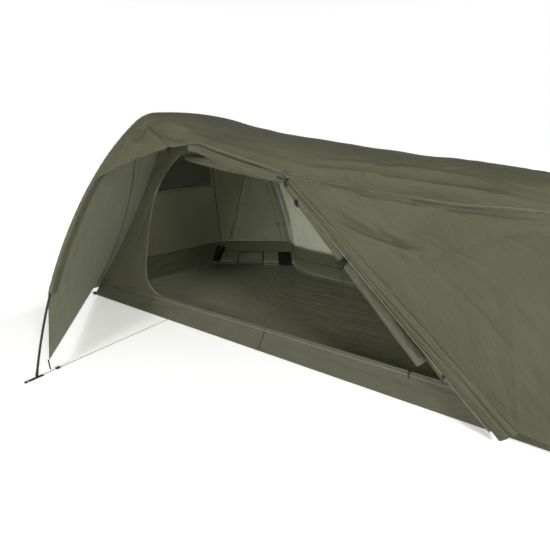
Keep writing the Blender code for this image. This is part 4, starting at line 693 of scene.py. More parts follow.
def inwardFrom(points):
    # the direction from a place towards the tent's middle line
    x = np.clip(points[..., 0], 0.100, 1.350)
    middle = np.stack([x, footHoopSize["middle"] * x / footX, np.full(x.shape, 0.300)], axis=-1)
    return unit(middle - points)


flyFolds = {
    # ridges and valleys from the door's tie point along the roof, and on the beak, in millimetres:
    # half width, height, path
    "tieRidge": (11, 8.5, (728, -322, 771), (913, -292, 747), (1150, -262, 712), (1440, -212, 684)),
    "tieValley": (13, -11.5, (745, -348, 739), (975, -310, 712), (1200, -275, 684), (1450, -232, 660)),
    "lowerRidge": (16, 7, (760, -355, 715), (985, -326, 667), (1220, -295, 640), (1450, -250, 628)),
    "panelValley": (11, -10, (894, -353, 631), (1000, -347, 581), (1100, -337, 553), (1214, -327, 534)),
    "panelRidge": (13, 6, (905, -358, 605), (1010, -350, 556), (1120, -340, 525), (1230, -330, 515)),
    "upperRidge": (12, 4.5, (745, -299, 787), (900, -262, 775), (1100, -225, 755), (1400, -185, 722)),
    "upperValley": (10, -5, (740, -310, 779), (900, -276, 762), (1120, -243, 733), (1420, -198, 702)),
    "beakRidge": (11, 10, (20, -360, 955), (100, -345, 925), (190, -335, 910), (300, -330, 872)),
    "beakValley": (11, -8, (20, -390, 935), (100, -385, 895), (200, -383, 870), (280, -378, 855)),
    "peakRidge": (10, 4.5, (20, -470, 870), (70, -460, 850), (130, -445, 838)),
    "hoopRidge": (8, 8.5, (20, -400, 940), (35, -450, 893), (45, -505, 843)),
    "hoopValley": (8, -8.5, (35, -385, 940), (60, -430, 893), (75, -470, 845)),
    "lipRidge": (8, 8.5, (40, -370, 945), (90, -405, 893), (120, -425, 850)),
    "lipValley": (9, -8, (50, -350, 950), (130, -385, 893), (165, -405, 855)),
    "crownValley": (20, -5, (50, -300, 965), (300, -270, 895), (600, -260, 835)),
    "doorwayFold": (10, 5, (330, -375, 850), (450, -345, 836), (600, -335, 808), (720, -328, 780)),
}
foldScale = {"width": 1.2, "height": 1.9, "taper": 0.3}
shoulder = np.array([0.0, -0.400, 0.940])
flyFans = (
    # height, then anchor, direction, facing, spread, count, reach, seed and sharpness
    (0.0300, shoulder, (0.6, -0.6, -0.5), (0.3, -0.6, 0.7), 1.4, 13, 0.24, 3, 1.2),
    (0.0076, shoulder, (1.0, 0.3, -0.2), (0.0, -0.4, 0.9), 0.9, 7, 0.35, 5),
    (0.0068, onHoop(mainHoop, 0.62), (1.0, 0.0, 0.0), (0.0, 0.4, 0.9), 1.2, 8, 0.30, 7),
    (0.0099, onHoop(footHoop, 0.34, 0, footX), (-1.0, 0, 0), (0, -0.6, 0.8), 1.2, 9, 0.22, 9),
    (0.0099, onHoop(footHoop, 0.66, 0, footX), (-1.0, 0, 0), (0, 0.6, 0.8), 1.2, 9, 0.22, 11),
    (0.0102, mainLine(1.0, 0.0), (1.0, -0.4, 0.6), (0, 1, 0.4), 1.2, 9, 0.35, 13),
    (0.0148, footLine(1.0, footX), (-1.0, 0.2, 0.6), (0, 1, 0.3), 1.2, 8, 0.30, 15),
    (0.0123, tie, (1.0, 0.05, -0.75), (0, -1, 0.3), 0.75, 9, 0.55, 23, 1.2),
    (0.0123, doorFoot, (0.3, 0.0, 1.0), (0, -1, 0), 0.9, 7, 0.22, 25),
    (0.0123, footLine(0.0, flyEnd), (-0.5, 0.0, 1.0), (0, -1, 0), 0.8, 6, 0.18, 27),
    (0.0175, tie, (1.0, 0.12, -0.06), (0, -0.6, 0.8), 0.20, 9, 0.90, 29, 1.4),
    (0.0116, footLine(0.30, flyEnd), (-1.0, 0.0, 0.08), (0, -0.6, 0.8), 0.45, 9, 0.55, 30, 1.4),
)


def foldedFly(smooth, wave, fade):
    # all the fly's folds are one height over places, so that two panels agree along the seam that they share.
    # They are 0 at the two sleeves and whole from 20 mm away.
    height = np.zeros(smooth.shape[:2])
    for rise, *fan in flyFans:
        height += rise * creases(smooth, *fan)
    for width, rise, *path in flyFolds.values():
        width, rise = width / 1000 * foldScale["width"], rise / 1000 * foldScale["height"]
        height += creasePath(smooth, np.array(path) / 1000, width, rise, foldScale["taper"])
    rise, wavelength, seed = wave
    height += rise * slack(smooth, wavelength, seed) * edgeFade(smooth.shape, *fade)
    x = smooth[..., 0]
    height *= smoothStep(np.minimum(x - flyStart, flyEnd - x) / 0.020)
    return smooth - inwardFrom(smooth) * height[..., None]


flyPanels = {
    # the panels from hoop to hoop: node, rows and columns, the shares of both edges, wave, fade, pucker seeds
    "flyRoof": (
        "fly_roof", (230, 120), (nearShare, lambda x: flySize["backShare"]), (0.0022, 0.24, 2),
        (0.02, 0.04), (4, 6),
    ),
    "flyBack": (
        "fly_back", (220, 90), (lambda x: flySize["backShare"], lambda x: 1), (0.0026, 0.20, 12),
        (0.02, 0.06), (14, 16),
    ),
}
for name, (node, (rows, columns), (lowEdge, highEdge), wave, fade, seeds) in flyPanels.items():
    x = (flyStart + (flyEnd - flyStart) * np.linspace(0, 1, rows))[:, None]
    smooth = flySurface(x, lowEdge(x) + (highEdge(x) - lowEdge(x)) * np.linspace(0, 1, columns)[None, :])
    pucker = seamPucker(smooth, False, seeds[0]) + seamPucker(smooth, True, seeds[1])
    points = displaced(foldedFly(smooth, wave, fade), pucker)
    addPanel(name, points, flyCloth, [node])


def addFlyNear():
    def top(b):
        x = flySize["tieX"] + (flyEnd - flySize["tieX"]) * b
        return flySurface(x, nearShare(x))

    foot, slant = between(doorFoot, footLine(0.0, flyEnd)), between(tie, doorFoot)
    smooth = coons(top, foot, slant, lambda a: footLine(flySize["crease"] * (1 - a), flyEnd), 130, 120)
    # two folds along the panel: a ridge that climbs a little and a wider valley below it
    a, b = np.linspace(0, 1, 130)[:, None], np.linspace(0, 1, 120)[None, :]
    spread = 16 * a * (1 - a) * b * (1 - b)
    folds = np.exp(-(((a - 0.16 - 0.05 * b) / 0.07) ** 2)) - 0.7 * np.exp(-(((a - 0.42) / 0.10) ** 2))
    smooth = smooth + np.array([0.0, 0.008, 0.0]) * (spread * folds)[..., None]
    points = foldedFly(smooth, (0.0022, 0.16, 22), (0.06, 0.04))
    addPanel("flyNearPanel", points, flyCloth, ["fly_near_panel"])


addFlyNear()
print("fly between the hoops ready")

headInside = np.array([-0.15, 0.05, 0.30])  # a point inside the head end
hipFolds = (
    # two short folds that run in from the sleeve on the near side: path, half width, height
    (((-0.010, -0.640, 0.690), (-0.050, -0.540, 0.728), (-0.105, -0.430, 0.755)), 0.008, -0.0090),
    (((-0.010, -0.670, 0.640), (-0.050, -0.600, 0.650), (-0.105, -0.510, 0.668)), 0.009, -0.0060),
)


def addHeadEnd():
    x = -flyStart
    hip, apex = flySize["hipShare"], flySize["hipApex"]
    hollowX, hollowY = flySize["hipHollow"]
    nearSeam = hollowed(headNear, mainLine(hip, x), (-hollowX, hollowY, 0))
    farSeam = hollowed(headFar, mainLine(1 - hip, x), (-hollowX, -hollowY, 0))
    top = lambda b: mainLine(hip + (1 - 2 * hip) * b, x)
    end = coons(between(headNear, headFar), top, nearSeam, farSeam, 130, 110)
    addFolded("headEnd", end, flyCloth, "head_end_panel", {
        "fans": (
            (0.0065, headNear, (0.5, 0.5, 0.8), (-0.8, -0.1, 0.5), 0.9, 8, 0.35, 31),
            (0.0065, headFar, (0.5, -0.5, 0.8), (-0.8, 0.1, 0.5), 0.9, 8, 0.35, 33),
        ),
        "waves": ((0.0022, 0.18, 32),), "fade": (0.03,),
    }, headInside)
    for name, node, side, corner, seam in (
        ("headHipNear", "head_hip_near", 1, headNear, nearSeam),
        ("headHipFar", "head_hip_far", -1, headFar, farSeam),
    ):
        def edge(t):
            return mainLine(t if side > 0 else 1 - t, x)

        reach = hip - apex
        foot = between(edge(0.0), corner)
        panel = coons(foot, lambda b: edge(reach + apex * b), lambda a: edge(reach * a), seam, 130, 90)
        facing = (-0.6, -0.7 * side, 0.4)
        addFolded(name, panel, flyCloth, node, {
            "fans": (
                (0.0060, corner, (0.6, -0.4 * side, 0.8), facing, 0.8, 7, 0.30, 35 + side),
                (0.0055, edge(0.0), (-0.5, 0.5 * side, 0.8), facing, 0.8, 7, 0.30, 38 + side),
                (0.0060, edge(0.31), (-0.3, 0.3 * side, -0.9), facing, 0.8, 8, 0.30, 45 + side),
            ),
            "paths": [(np.array(path) * (1.0, side, 1.0), width, rise) for path, width, rise in hipFolds],
            "waves": ((0.0022, 0.15, 34 + side),), "fade": (0.03,),
        }, headInside)


def footCorners():
    x = footX + flySize["footReach"]
    near, far = footLine(0.0, x), footLine(1.0, x)
    inset, hem = flySize["footInset"], flySize["hem"]
    return np.array([x, near[1] + inset, hem]), np.array([x, far[1] - inset, hem])


footNear, footFar = footCorners()


def addFootEnd():
    x = footX + flyStart
    rim = footLine(np.array([0.0, 1.0]), x)
    hemLine = [rim[0] + (footNear - rim[0]) * 0.1, footNear, footFar, rim[1] + (footFar - rim[1]) * 0.1]
    lengths = runLengths(np.array(hemLine))
    b = np.linspace(0, 1, 200)
    hem = fromPolyline(hemLine)(np.interp(b, [0.0, 0.25, 0.75, 1.0], lengths / lengths[-1]))
    smooth = lerp(footLine(b, x)[None], hem[None], np.linspace(0, 1, 90)[:, None])
    addFolded("footEnd", smooth, flyCloth, "foot_end_panel", {
        "fans": (
            (0.0060, footNear, (-0.4, 0.3, 0.9), (0.7, -0.5, 0.4), 0.9, 7, 0.26, 41),
            (0.0060, footFar, (-0.4, -0.3, 0.9), (0.7, 0.5, 0.4), 0.9, 7, 0.26, 43),
        ),
        "waves": ((0.0022, 0.16, 42),), "fade": (0.05, 0.02),
    }, np.array([1.5, 0.06, 0.25]))


addHeadEnd()
addFootEnd()
print("fly ends ready")


def addFarStrip():
    # below the far sleeve's end, where the pole leaves it, a strip of the fly's cloth joins the back panel to
    # the hip
    end = 1 - shareAtHeight(mainHoop, flySize["mainSleeveEnd"])
    path = mainLine(np.linspace(end + (1 - end) * 0.10, 0.998, 40), 0.0)
    facing = unit(np.cross(np.gradient(path, axis=0), np.array([1.0, 0.0, 0.0])))
    facing = facing if facing[0, 1] > 0 else -facing
    flatTape("farStrip", path, facing, 0.0170, clothThickness, flyCloth)


sleeveSize = {"out": 0.0080, "fly": 0.0050, "inner": 0.024, "half": 0.0075, "bore": 0.0052}


def addSleeve(name, node, hoop, x, endHeight, seed):
    # The outline round the pole is carried along the hoop. Its ends stay open round the pole, and the cloth
    # gathers a little: the outline swells and shrinks by a few tenths of a millimetre along the hoop.
    start = shareAtHeight(hoop, endHeight)
    share = np.linspace(start, 1 - start, 260)
    s = sleeveSize
    right = [
        (0.45, s["out"] * 0.93), (0.8, s["out"] * 0.55), (0.97, s["fly"] * 0.2),
        (0.95, -s["fly"]), (0.55, -s["inner"] * 0.5), (0.3, -s["inner"]),
    ]
    halves = [(s["half"] * u, v) for u, v in right] + [(-s["half"] * u, v) for u, v in right[::-1]]
    outline = np.array([(0.0, s["out"]), *halves])
    bearings = np.arctan2(outline[:, 1], outline[:, 0])
    bore = np.stack([np.cos(bearings), np.sin(bearings)], axis=1) * s["bore"]
    centres = onHoop(hoop, share, 0.0, x)[:, None]
    out = outOfHoop(hoop, share)[:, None]
    metres = share * hoop["length"]
    random = np.random.default_rng(seed)
    gather = 1 + 0.05 * np.sin(fullTurn * metres / 0.021 + random.uniform(0, 6))
    gather = gather + 0.05 * np.sin(fullTurn * metres / 0.034 + random.uniform(0, 6))
    gather = gather[:, None, None]
    sideways = np.array([1.0, 0.0, 0.0])
    outer = centres + sideways * (outline[None, :, :1] * np.minimum(gather, 1.0))
    outer = outer + out * (outline[None, :, 1:] * gather)
    inner = centres + sideways * bore[None, :, :1] + out * bore[None, :, 1:]
    girth = np.linalg.norm(np.roll(outline, -1, axis=0) - outline, axis=1)
    addPiece(name, hollowBody(outer, inner, np.cumsum(girth) - girth, metres), flyCloth, [node])


addFarStrip()
addSleeve("mainSleeve", "main_sleeve", mainHoop, 0.0, flySize["mainSleeveEnd"], 51)
addSleeve("footSleeve", "foot_sleeve", footHoop, footX, flySize["footSleeveEnd"], 53)
print("sleeves ready")


# Inner tent: corner lines and base lines

innerSize = {
    "floor": 0.0045, "base": 0.0048, "nearY": -0.340, "headX": -0.640, "footX": 1.620, "sill": 0.115,
    "tub": 0.200, "lean": 0.110, "wallTop": 0.830, "hang": 0.840, "cornerHollow": 0.035, "doorLeftTop": 0.095,
    "doorTopRight": (0.660, 0.730), "doorFoot": 1.300, "footTop": 0.560, "footTopRise": 0.045,
    "roofSeam": 0.003, "legInsetFoot": 0.100, "legInsetTop": 0.050, "goreFoot": 0.03, "legPeak": 0.97,
}
base, sill, tub = innerSize["base"], innerSize["sill"], innerSize["tub"]
wallTop, footWallTop = innerSize["wallTop"], innerSize["footTop"]


def wallPoint(x, z):
    # the near wall leans in evenly from the floor's near edge
    x, z = np.broadcast_arrays(np.asarray(x, dtype=float), np.asarray(z, dtype=float))
    return np.stack([x, innerSize["nearY"] + innerSize["lean"] * z / innerSize["hang"], z], axis=-1)


def roofNearEdge(x):
    right, low = innerSize["doorTopRight"]
    x = np.asarray(x, dtype=float)
    return wallPoint(x, wallTop + (low - wallTop) / right * np.maximum(x, 0.0))


headNearFloor = np.array([innerSize["headX"], innerSize["nearY"], base])
headFarFloor = np.array([-0.510, 0.570, base])
hoopFarFloor = np.array([0.035, 0.860, base])
footFarFloor = np.array([innerSize["footX"], 0.440, base])
footNearFloor = np.array([innerSize["footX"], innerSize["nearY"], base])
headTop = wallPoint(-0.080, wallTop)
ridge = np.array([0.0, 0.040, 0.870])
farShoulder = np.array([0.0, 0.430, 0.860])
footTopNear = np.array([1.550, -0.180, footWallTop])
footTopFar = np.array([1.550, 0.300, footWallTop])
doorTop = wallPoint(*innerSize["doorTopRight"])
backLine = np.array([
    headFarFloor, hoopFarFloor, (0.140, 0.755, base), (0.300, 0.690, base),
    (0.620, 0.648, base), (1.050, 0.590, base), footFarFloor,
])
backBase = fromPolyline(backLine)
hoopShare = float(runLengths(backLine)[1] / runLengths(backLine)[-1])


def nearCorner(z):
    # from the head's near floor corner up to the clip, drawn in by 4 u (1 - u) above the sill
    z = np.asarray(z, dtype=float)
    p = lerp(headNearFloor, headTop, (z - base) / (wallTop - base))
    u = np.maximum(z - sill, 0.0) / (wallTop - sill)
    p[..., 1] += innerSize["cornerHollow"] * 4 * u * (1 - u)
    p[..., 2] = z
    return p


def upLine(foot, top):
    # a function of heights along the straight line from a floor corner to a higher place
    return lambda z: lerp(foot, top, (np.asarray(z, dtype=float) - base) / (top[2] - base))


farCorner = upLine(headFarFloor, farShoulder)
goreSeam = upLine(headFarFloor, ridge)
footFarCorner = upLine(footFarFloor, footTopFar)


def footNearCorner(z):
    z = np.asarray(z, dtype=float)
    knee = wallPoint(innerSize["footX"], sill)
    low = lerp(footNearFloor, knee, (z - base) / (sill - base))
    high = lerp(knee, footTopNear, (z - sill) / (footWallTop - sill))
    return np.where((z < sill)[..., None], low, high)


def footTop(b):
    b = np.asarray(b, dtype=float)
    p = lerp(footTopNear, footTopFar, b)
    p[..., 2] += innerSize["footTopRise"] * 4 * b * (1 - b)
    return p


def legLine(u):
    # up the back wall, a little inside the hoop's far leg, from the floor at 0 to the far shoulder at 1
    u = np.asarray(u, dtype=float)
    high = 1.0 - shareAtHeight(mainHoop, farShoulder[2])
    foot, top = innerSize["legInsetFoot"], innerSize["legInsetTop"]
    shares = 1.0 + (high - 1.0) * u
    p = onHoop(mainHoop, shares) - outOfHoop(mainHoop, shares) * (foot + (top - foot) * u)[..., None]
    start = onHoop(mainHoop, 1.0) - outOfHoop(mainHoop, 1.0) * foot
    end = onHoop(mainHoop, high) - outOfHoop(mainHoop, high) * top
    return p + lerp(hoopFarFloor - start, farShoulder - end, u)


legTable = np.linspace(0, 1, 60)
legLow = float(np.interp(tub, legLine(legTable)[:, 2], legTable))


def leg(a):
    # the same line by shares from the bathtub's top to just under the shoulder
    return legLine(legLow + (innerSize["legPeak"] - legLow) * np.asarray(a, dtype=float))


def tubTop(b):
    # the base line moved by the lean of the walls there, which changes evenly between three corners
    b = np.asarray(b, dtype=float)
    leans = np.array([
        farCorner(tub) - headFarFloor, legLine(legLow) - hoopFarFloor, footFarCorner(tub) - footFarFloor,
    ])
    shift = np.stack([np.interp(b, [0.0, hoopShare, 1.0], leans[:, k]) for k in range(3)], axis=-1)
    return backBase(b) + shift


def backTub(a, b):
    return lerp(backBase(b), tubTop(b), a)


def grid(rows, columns):
    return np.meshgrid(np.linspace(0, 1, rows), np.linspace(0, 1, columns), indexing="ij")


# Free cord: a loose tie in the back wall's low seam that hangs to the floor

wallTieSize = {
    "radius": 0.0011, "x": 0.510, "height": 0.163, "sway": 0.026, "back": 0.005, "steps": 30,
    "offset": 0.0037, "clearance": 0.0003,
}


def addWallTie():
    # down the wall: it drifts by a half cosine over the first 0.8 of its height, then bends back a little
    s = wallTieSize
    t = np.linspace(0, 1, s["steps"] + 1)
    sway = s["sway"] * (1 - np.cos(math.pi * np.minimum(t / 0.8, 1.0))) / 2
    back = s["back"] * np.sin(math.pi / 2 * np.maximum(t / 0.8 - 1.0, 0.0) * 4) ** 2
    z = s["height"] + (innerSize["floor"] + s["clearance"] - s["height"]) * t
    table = np.linspace(0, 1, 101)
    p = backTub(z / tub, np.interp(s["x"] + sway - back, backBase(table)[:, 0], table))
    p = p + inwardFrom(p) * s["offset"]
    route = np.stack([p[:, 0], p[:, 1], z], axis=1)
    smooth = fromPolyline(route)(np.linspace(0, 1, 121))
    piece = roundTube("wallTie", smooth, s["radius"], tieCord, ["wall_tie"], 10, (0, 1, 0))


addWallTie()
print("cord ready")


# Inner tent: floor, bathtub and walls


def addFloor():
    lower, upper = between(headNearFloor, footNearFloor), between(headNearFloor, headFarFloor)
    smooth = coons(lower, backBase, upper, between(footNearFloor, footFarFloor), 110, 290)
    smooth[..., 2] = innerSize["floor"]
    x, y = smooth[..., 0], smooth[..., 1]
    random = np.random.default_rng(61)
    ripple = np.zeros(x.shape)
    for k in range(16):
        # long soft ridges along the tent, each a bell across with its own place, slant and reach
        centre = random.uniform(-0.30, 0.62)
        slant = random.uniform(-0.10, 0.10)
        wave = 0.012 * np.sin(fullTurn * (x / random.uniform(0.35, 0.7) + random.uniform(0, 1)))
        width = random.uniform(0.012, 0.030)
        middle, reach = random.uniform(-0.3, 1.2), random.uniform(0.25, 0.7)
        bell = np.exp(-(((y - centre - slant * x - wave) / width) ** 2) - ((x - middle) / reach) ** 2)
        ripple += random.uniform(0.0015, 0.0045) * bell
    for k in range(12):
        # short cross ridges
        centre, slant = random.uniform(-0.45, 1.4), random.uniform(-0.6, 0.6)
        width, middle = random.uniform(0.010, 0.022), random.uniform(-0.2, 0.5)
        reach = random.uniform(0.08, 0.22)
        bell = np.exp(-(((x - centre - slant * y) / width) ** 2) - ((y - middle) / reach) ** 2)
        ripple += random.uniform(0.001, 0.003) * bell
    ripple += 0.0012 * (1 + slack(smooth, 0.12, 62))
    points = smooth.copy()
    points[..., 2] += np.minimum(ripple, 0.0085) * edgeFade(x.shape, 0.04)
    above = np.array([0.5, 0.1, -5.0])  # its outer face looks up
    addPanel("floorSheet", points, floorCloth, ["floor"], above)


sillFolds = (
    # long soft folds along the sill: start and end as distance along and height, half width, height
    ((-0.55, 0.075), (0.35, 0.100), 0.010, 0.0060),
    ((-0.30, 0.050), (0.50, 0.060), 0.009, -0.0050),
    ((0.62, 0.100), (1.45, 0.075), 0.010, 0.0060),
    ((0.60, 0.060), (1.30, 0.050), 0.009, -0.0055),
    ((0.10, 0.110), (0.56, 0.085), 0.008, -0.0045),
)
headTubFold = ((-0.600, -0.150, 0.135), (-0.520, 0.200, 0.100), (-0.476, 0.480, 0.080))
sliderRun = {"straight": 0.23, "blend": 0.14}  # shares of the near wall's height, from its top


def addTub():
    near = coons(
        lambda b: wallPoint(innerSize["headX"] + (innerSize["footX"] - innerSize["headX"]) * b, base),
        between(nearCorner(sill), footNearCorner(sill)),
        lambda a: nearCorner(base + (sill - base) * a),
        lambda a: footNearCorner(base + (sill - base) * a),
        26, 360,
    )
    # the door's slider and its pull run along its top edge, which is held straight
    fromTop = 1 - np.linspace(0, 1, 26)[:, None]
    gain = np.clip((fromTop - sliderRun["straight"]) / sliderRun["blend"], 0, 1)
    paths = [((wallPoint(*start), wallPoint(*end)), width, rise) for start, end, width, rise in sillFolds]
    folds = {"paths": paths, "waves": ((0.0026, 0.13, 71), (0.0014, 0.05, 72)), "fade": (0.2, 0.01)}
    addFolded("tubNear", near, tubCloth, "tub_near", folds, gain=gain)
    a, b = grid(30, 150)
    z = base + (tub - base) * a
    folds = {"paths": ((headTubFold, 0.009, 0.0130),), "waves": ((0.0028, 0.14, 73),), "fade": (0.1, 0.03)}
    addFolded("tubHead", lerp(nearCorner(z), farCorner(z), b), tubCloth, "tub_head", folds)
    folds = {"waves": ((0.0016, 0.12, 74),), "fade": (0.2,)}
    addFolded("tubBack", backTub(*grid(30, 360)), tubCloth, "tub_back", folds)


def sampleGrid(points, a, b):
    # the surface's point at shares a of its rows and b of its columns, straight between the grid's points
    rows, columns = points.shape[:2]
    a = np.clip(np.asarray(a, dtype=float), 0, 1) * (rows - 1)
    b = np.clip(np.asarray(b, dtype=float), 0, 1) * (columns - 1)
    i = np.minimum(a.astype(int), rows - 2)
    j = np.minimum(b.astype(int), columns - 2)
    s, t = (a - i)[..., None], (b - j)[..., None]
    low = points[i, j] * (1 - t) + points[i, j + 1] * t
    high = points[i + 1, j] * (1 - t) + points[i + 1, j + 1] * t
    return low * (1 - s) + high * s


def addHeadWalls():
    a, b = grid(110, 100)
    right = goreSeam(tub + (ridge[2] - tub) * a) + (farCorner(tub) - goreSeam(tub)) * (1 - a)[..., None]
    wall = lerp(nearCorner(tub + (wallTop - tub) * a), right, b)
    addFolded("headWall", wall, innerCloth, "head_wall", {
        "fans": (
            (0.0050, headTop, (-0.4, 0.5, -0.8), (-0.9, -0.1, 0.4), 0.8, 8, 0.35, 81),
            (0.0045, farCorner(tub), (0.5, -0.5, 0.8), (-0.9, -0.1, 0.4), 0.7, 6, 0.30, 83),
        ),
        "waves": ((0.0022, 0.16, 82),), "fade": (0.03,),
    })
    goreRight = lerp(tubTop(innerSize["goreFoot"]), farShoulder, a)
    gore = lerp(sampleGrid(wall, a, np.ones(a.shape)), goreRight, b)[:, ::2]
    folds = {"waves": ((0.0020, 0.12, 84),), "fade": (0.12,)}
    addFolded("headGore", gore, innerCloth, "head_gore", folds)


def addBackWalls():
    start = innerSize["goreFoot"]
    foot = lambda b: tubTop(start + (hoopShare - start) * b)
    wall = coons(foot, between(farShoulder, leg(1.0)), between(tubTop(start), farShoulder), leg, 110, 90)
    addFolded("backWall", wall, innerCloth, "back_wall", {
        "fans": ((0.0050, farShoulder, (0.0, 0.5, -0.8), (-0.5, 0.8, 0.3), 0.7, 7, 0.40, 91),),
        "waves": ((0.0024, 0.15, 92),), "fade": (0.03,),
    })
    foot = lambda b: tubTop(hoopShare + (1 - hoopShare) * b)
    end = lambda a: footFarCorner(tub + (footWallTop - tub) * a)
    mesh = coons(foot, between(leg(1.0), footTopFar), leg, end, 100, 220)
    folds = {"waves": ((0.0040, 0.20, 94),), "fade": (0.06,)}
    addFolded("backMesh", mesh, paleNet, "back_mesh", folds)


doorEdge = {
    # the door's head side: shares of its height, and the distances along the tent there
    "shares": (0.0, 0.014, 0.043, 0.086, 0.136, 0.264, 0.478, 0.692, 0.835, 0.935, 1.0),
    "places": (-0.035, -0.085, -0.125, -0.152, -0.165, -0.163, -0.145, -0.110, -0.045, 0.025, 0.095),
}


def doorLeftEdge(a):
    # by its share of the height from the sill to the roof's edge, its corners rounded by a running mean
    top = roofNearEdge(innerSize["doorLeftTop"])[2]
    fine = np.linspace(0, 1, 200)
    places = np.interp(fine, doorEdge["shares"], doorEdge["places"])
    soft = np.convolve(np.pad(places, 7, mode="edge"), np.ones(15) / 15, mode="valid")
    blend = np.clip(np.minimum(fine, 1 - fine) / 0.06, 0, 1)
    places = places * (1 - blend) + soft * blend
    a = np.asarray(a, dtype=float)
    return wallPoint(np.interp(a, fine, places), sill + (top - sill) * a)


wallFolds = (
    # on the near wall's head side: path, half width, height
    (((-0.150, -0.250, 0.600), (-0.260, -0.268, 0.420), (-0.440, -0.300, 0.220)), 0.012, 0.0060),
    (((-0.185, -0.255, 0.540), (-0.330, -0.280, 0.330), (-0.500, -0.310, 0.180)), 0.012, -0.0050),
)


def addNearWalls():
    foot = between(nearCorner(sill), doorLeftEdge(0.0))
    top = fromPolyline([headTop, roofNearEdge(0.0), roofNearEdge(innerSize["doorLeftTop"])])
    head = coons(foot, top, lambda a: nearCorner(sill + (wallTop - sill) * a), doorLeftEdge, 170, 90)
    addFolded("nearWallHead", head, innerCloth, "near_wall_head", {
        "fans": ((0.0060, headTop, (-0.2, 0.0, -1.0), (0, -1, 0.1), 0.6, 6, 0.40, 101),),
        "paths": wallFolds, "waves": ((0.0022, 0.14, 102),), "fade": (0.02, 0.04),
    })
    start = wallPoint(innerSize["doorFoot"], sill)
    foot, top = between(start, footNearCorner(sill)), between(doorTop, footTopNear)
    end = lambda a: footNearCorner(sill + (footWallTop - sill) * a)
    wall = coons(foot, top, between(start, doorTop), end, 110, 110)
    addFolded("nearWallFoot", wall, innerCloth, "near_wall_foot", {
        "fans": ((0.0050, doorTop, (0.7, 0.0, -0.6), (0, -1, 0.1), 0.7, 6, 0.35, 103),),
        "waves": ((0.0020, 0.14, 104),), "fade": (0.07,),
    })


def addRoofAndFootWall():
    seam = np.array([innerSize["roofSeam"], 0.0, innerSize["roofSeam"]])
    roof = coons(
        fromPolyline([headTop + seam, ridge + seam, farShoulder + seam]),
        footTop,
        fromPolyline([headTop + seam, roofNearEdge(0.0) + seam, doorTop + seam, footTopNear]),
        between(farShoulder + seam, footTopFar),
        230, 90,
    )
    folds = {"waves": ((0.0040, 0.20, 112),), "fade": (0.06,)}
    addFolded("innerRoof", roof, innerCloth, "inner_roof", folds)
    near = lambda a: footNearCorner(base + (footWallTop - base) * a)
    foot, far = between(footNearFloor, footFarFloor), between(footFarFloor, footTopFar)
    wall = coons(foot, footTop, near, far, 90, 90)
    folds = {"waves": ((0.0025, 0.15, 113),), "fade": (0.08,)}
    addFolded("footWall", wall, innerCloth, "foot_wall", folds)


addFloor()
addTub()
addHeadWalls()
addBackWalls()
addNearWalls()
addRoofAndFootWall()
print("inner tent ready")


# The rolled doors

flyRollSize = {
    "topHalf": 0.011, "footHalf": 0.032, "depth": 0.011, "gap": 0.001, "gatherStart": 0.290,
    "gatherHigh": 0.027, "gatherDeep": 0.018, "zipWidth": 0.005, "zipThick": 0.0016, "coilPitch": 0.0026,
    "coilRadius": 0.00058, "turns": 2.6, "innerShare": 0.45,
}
doorAlong = unit(doorFoot - tie)
doorAcross = unit(np.cross(doorAlong, np.array([0.0, -1.0, 0.0])))
doorOut = unit(np.cross(doorAcross, doorAlong))
doorOut = doorOut if doorOut[1] < 0 else -doorOut


def rollHalf(share):
    return flyRollSize["topHalf"] + (flyRollSize["footHalf"] - flyRollSize["topHalf"]) * share


def rollAngles(columns):
    return np.linspace(0, fullTurn * flyRollSize["turns"], columns)[None, :]


def rolledSheet(name, node, centres, section, radii, innerShare, finish):
    # One thin sheet wound round a line of centres. Along a row the angle runs through all the turns, and the
    # section's own radius at that angle is scaled by a share that grows evenly from the inner one to 1.
    side, up = section
    columns = radii.shape[1]
    angle = rollAngles(columns)
    share = innerShare + (1 - innerShare) * np.linspace(0, 1, columns)[None, :]
    points = centres[:, None] + side * (radii[..., 0] * share * np.cos(angle))[..., None]
    points = points + up * (radii[..., 1] * share * np.sin(angle))[..., None]
    addPanel(name, points, finish, [node], centres.mean(axis=0))


def addFlyRoll():
    # The door folded along its slanted edge. Round the section the depth is a flattened sine, and folds run
    # along it: bells over the cosine of the angle whose places wander down the roll.
    share = np.linspace(0.015, 1.0, 170)[:, None]
    angle = rollAngles(230)
    half = rollHalf(share)
    flat = np.maximum(np.abs(np.sin(angle)), 1e-3) ** -0.2
    valley = np.exp(-(((np.cos(angle) - 0.30 * np.sin(5 * share)) / 0.15) ** 2))
    second = np.exp(-(((np.cos(angle) + 0.52 - 0.22 * np.sin(7 * share + 1)) / 0.10) ** 2))
    third = np.exp(-(((np.cos(angle) - 0.66 + 0.18 * np.sin(9 * share + 2)) / 0.09) ** 2))
    face = np.maximum(0.0, np.sin(angle))
    fold = 1 - face * (0.62 * valley + 0.46 * second + 0.38 * third)
    fold = fold * (1 + 0.03 * np.sin(23 * share + 3 * np.cos(angle)))
    edge = half * (1 + 0.03 * np.sin(31 * share + 2 * np.sin(angle)))
    depth = flyRollSize["depth"] * flat * fold * (0.92 + 0.08 * np.sin(12 * share))
    centres = tie + (doorFoot - tie) * share + doorAcross * (half + flyRollSize["gap"])
    rolledSheet(
        "flyDoorRoll", "fly_door_roll", centres, (doorAcross, doorOut), np.stack([edge, depth], axis=2),
        flyRollSize["innerShare"], flyCloth,
    )


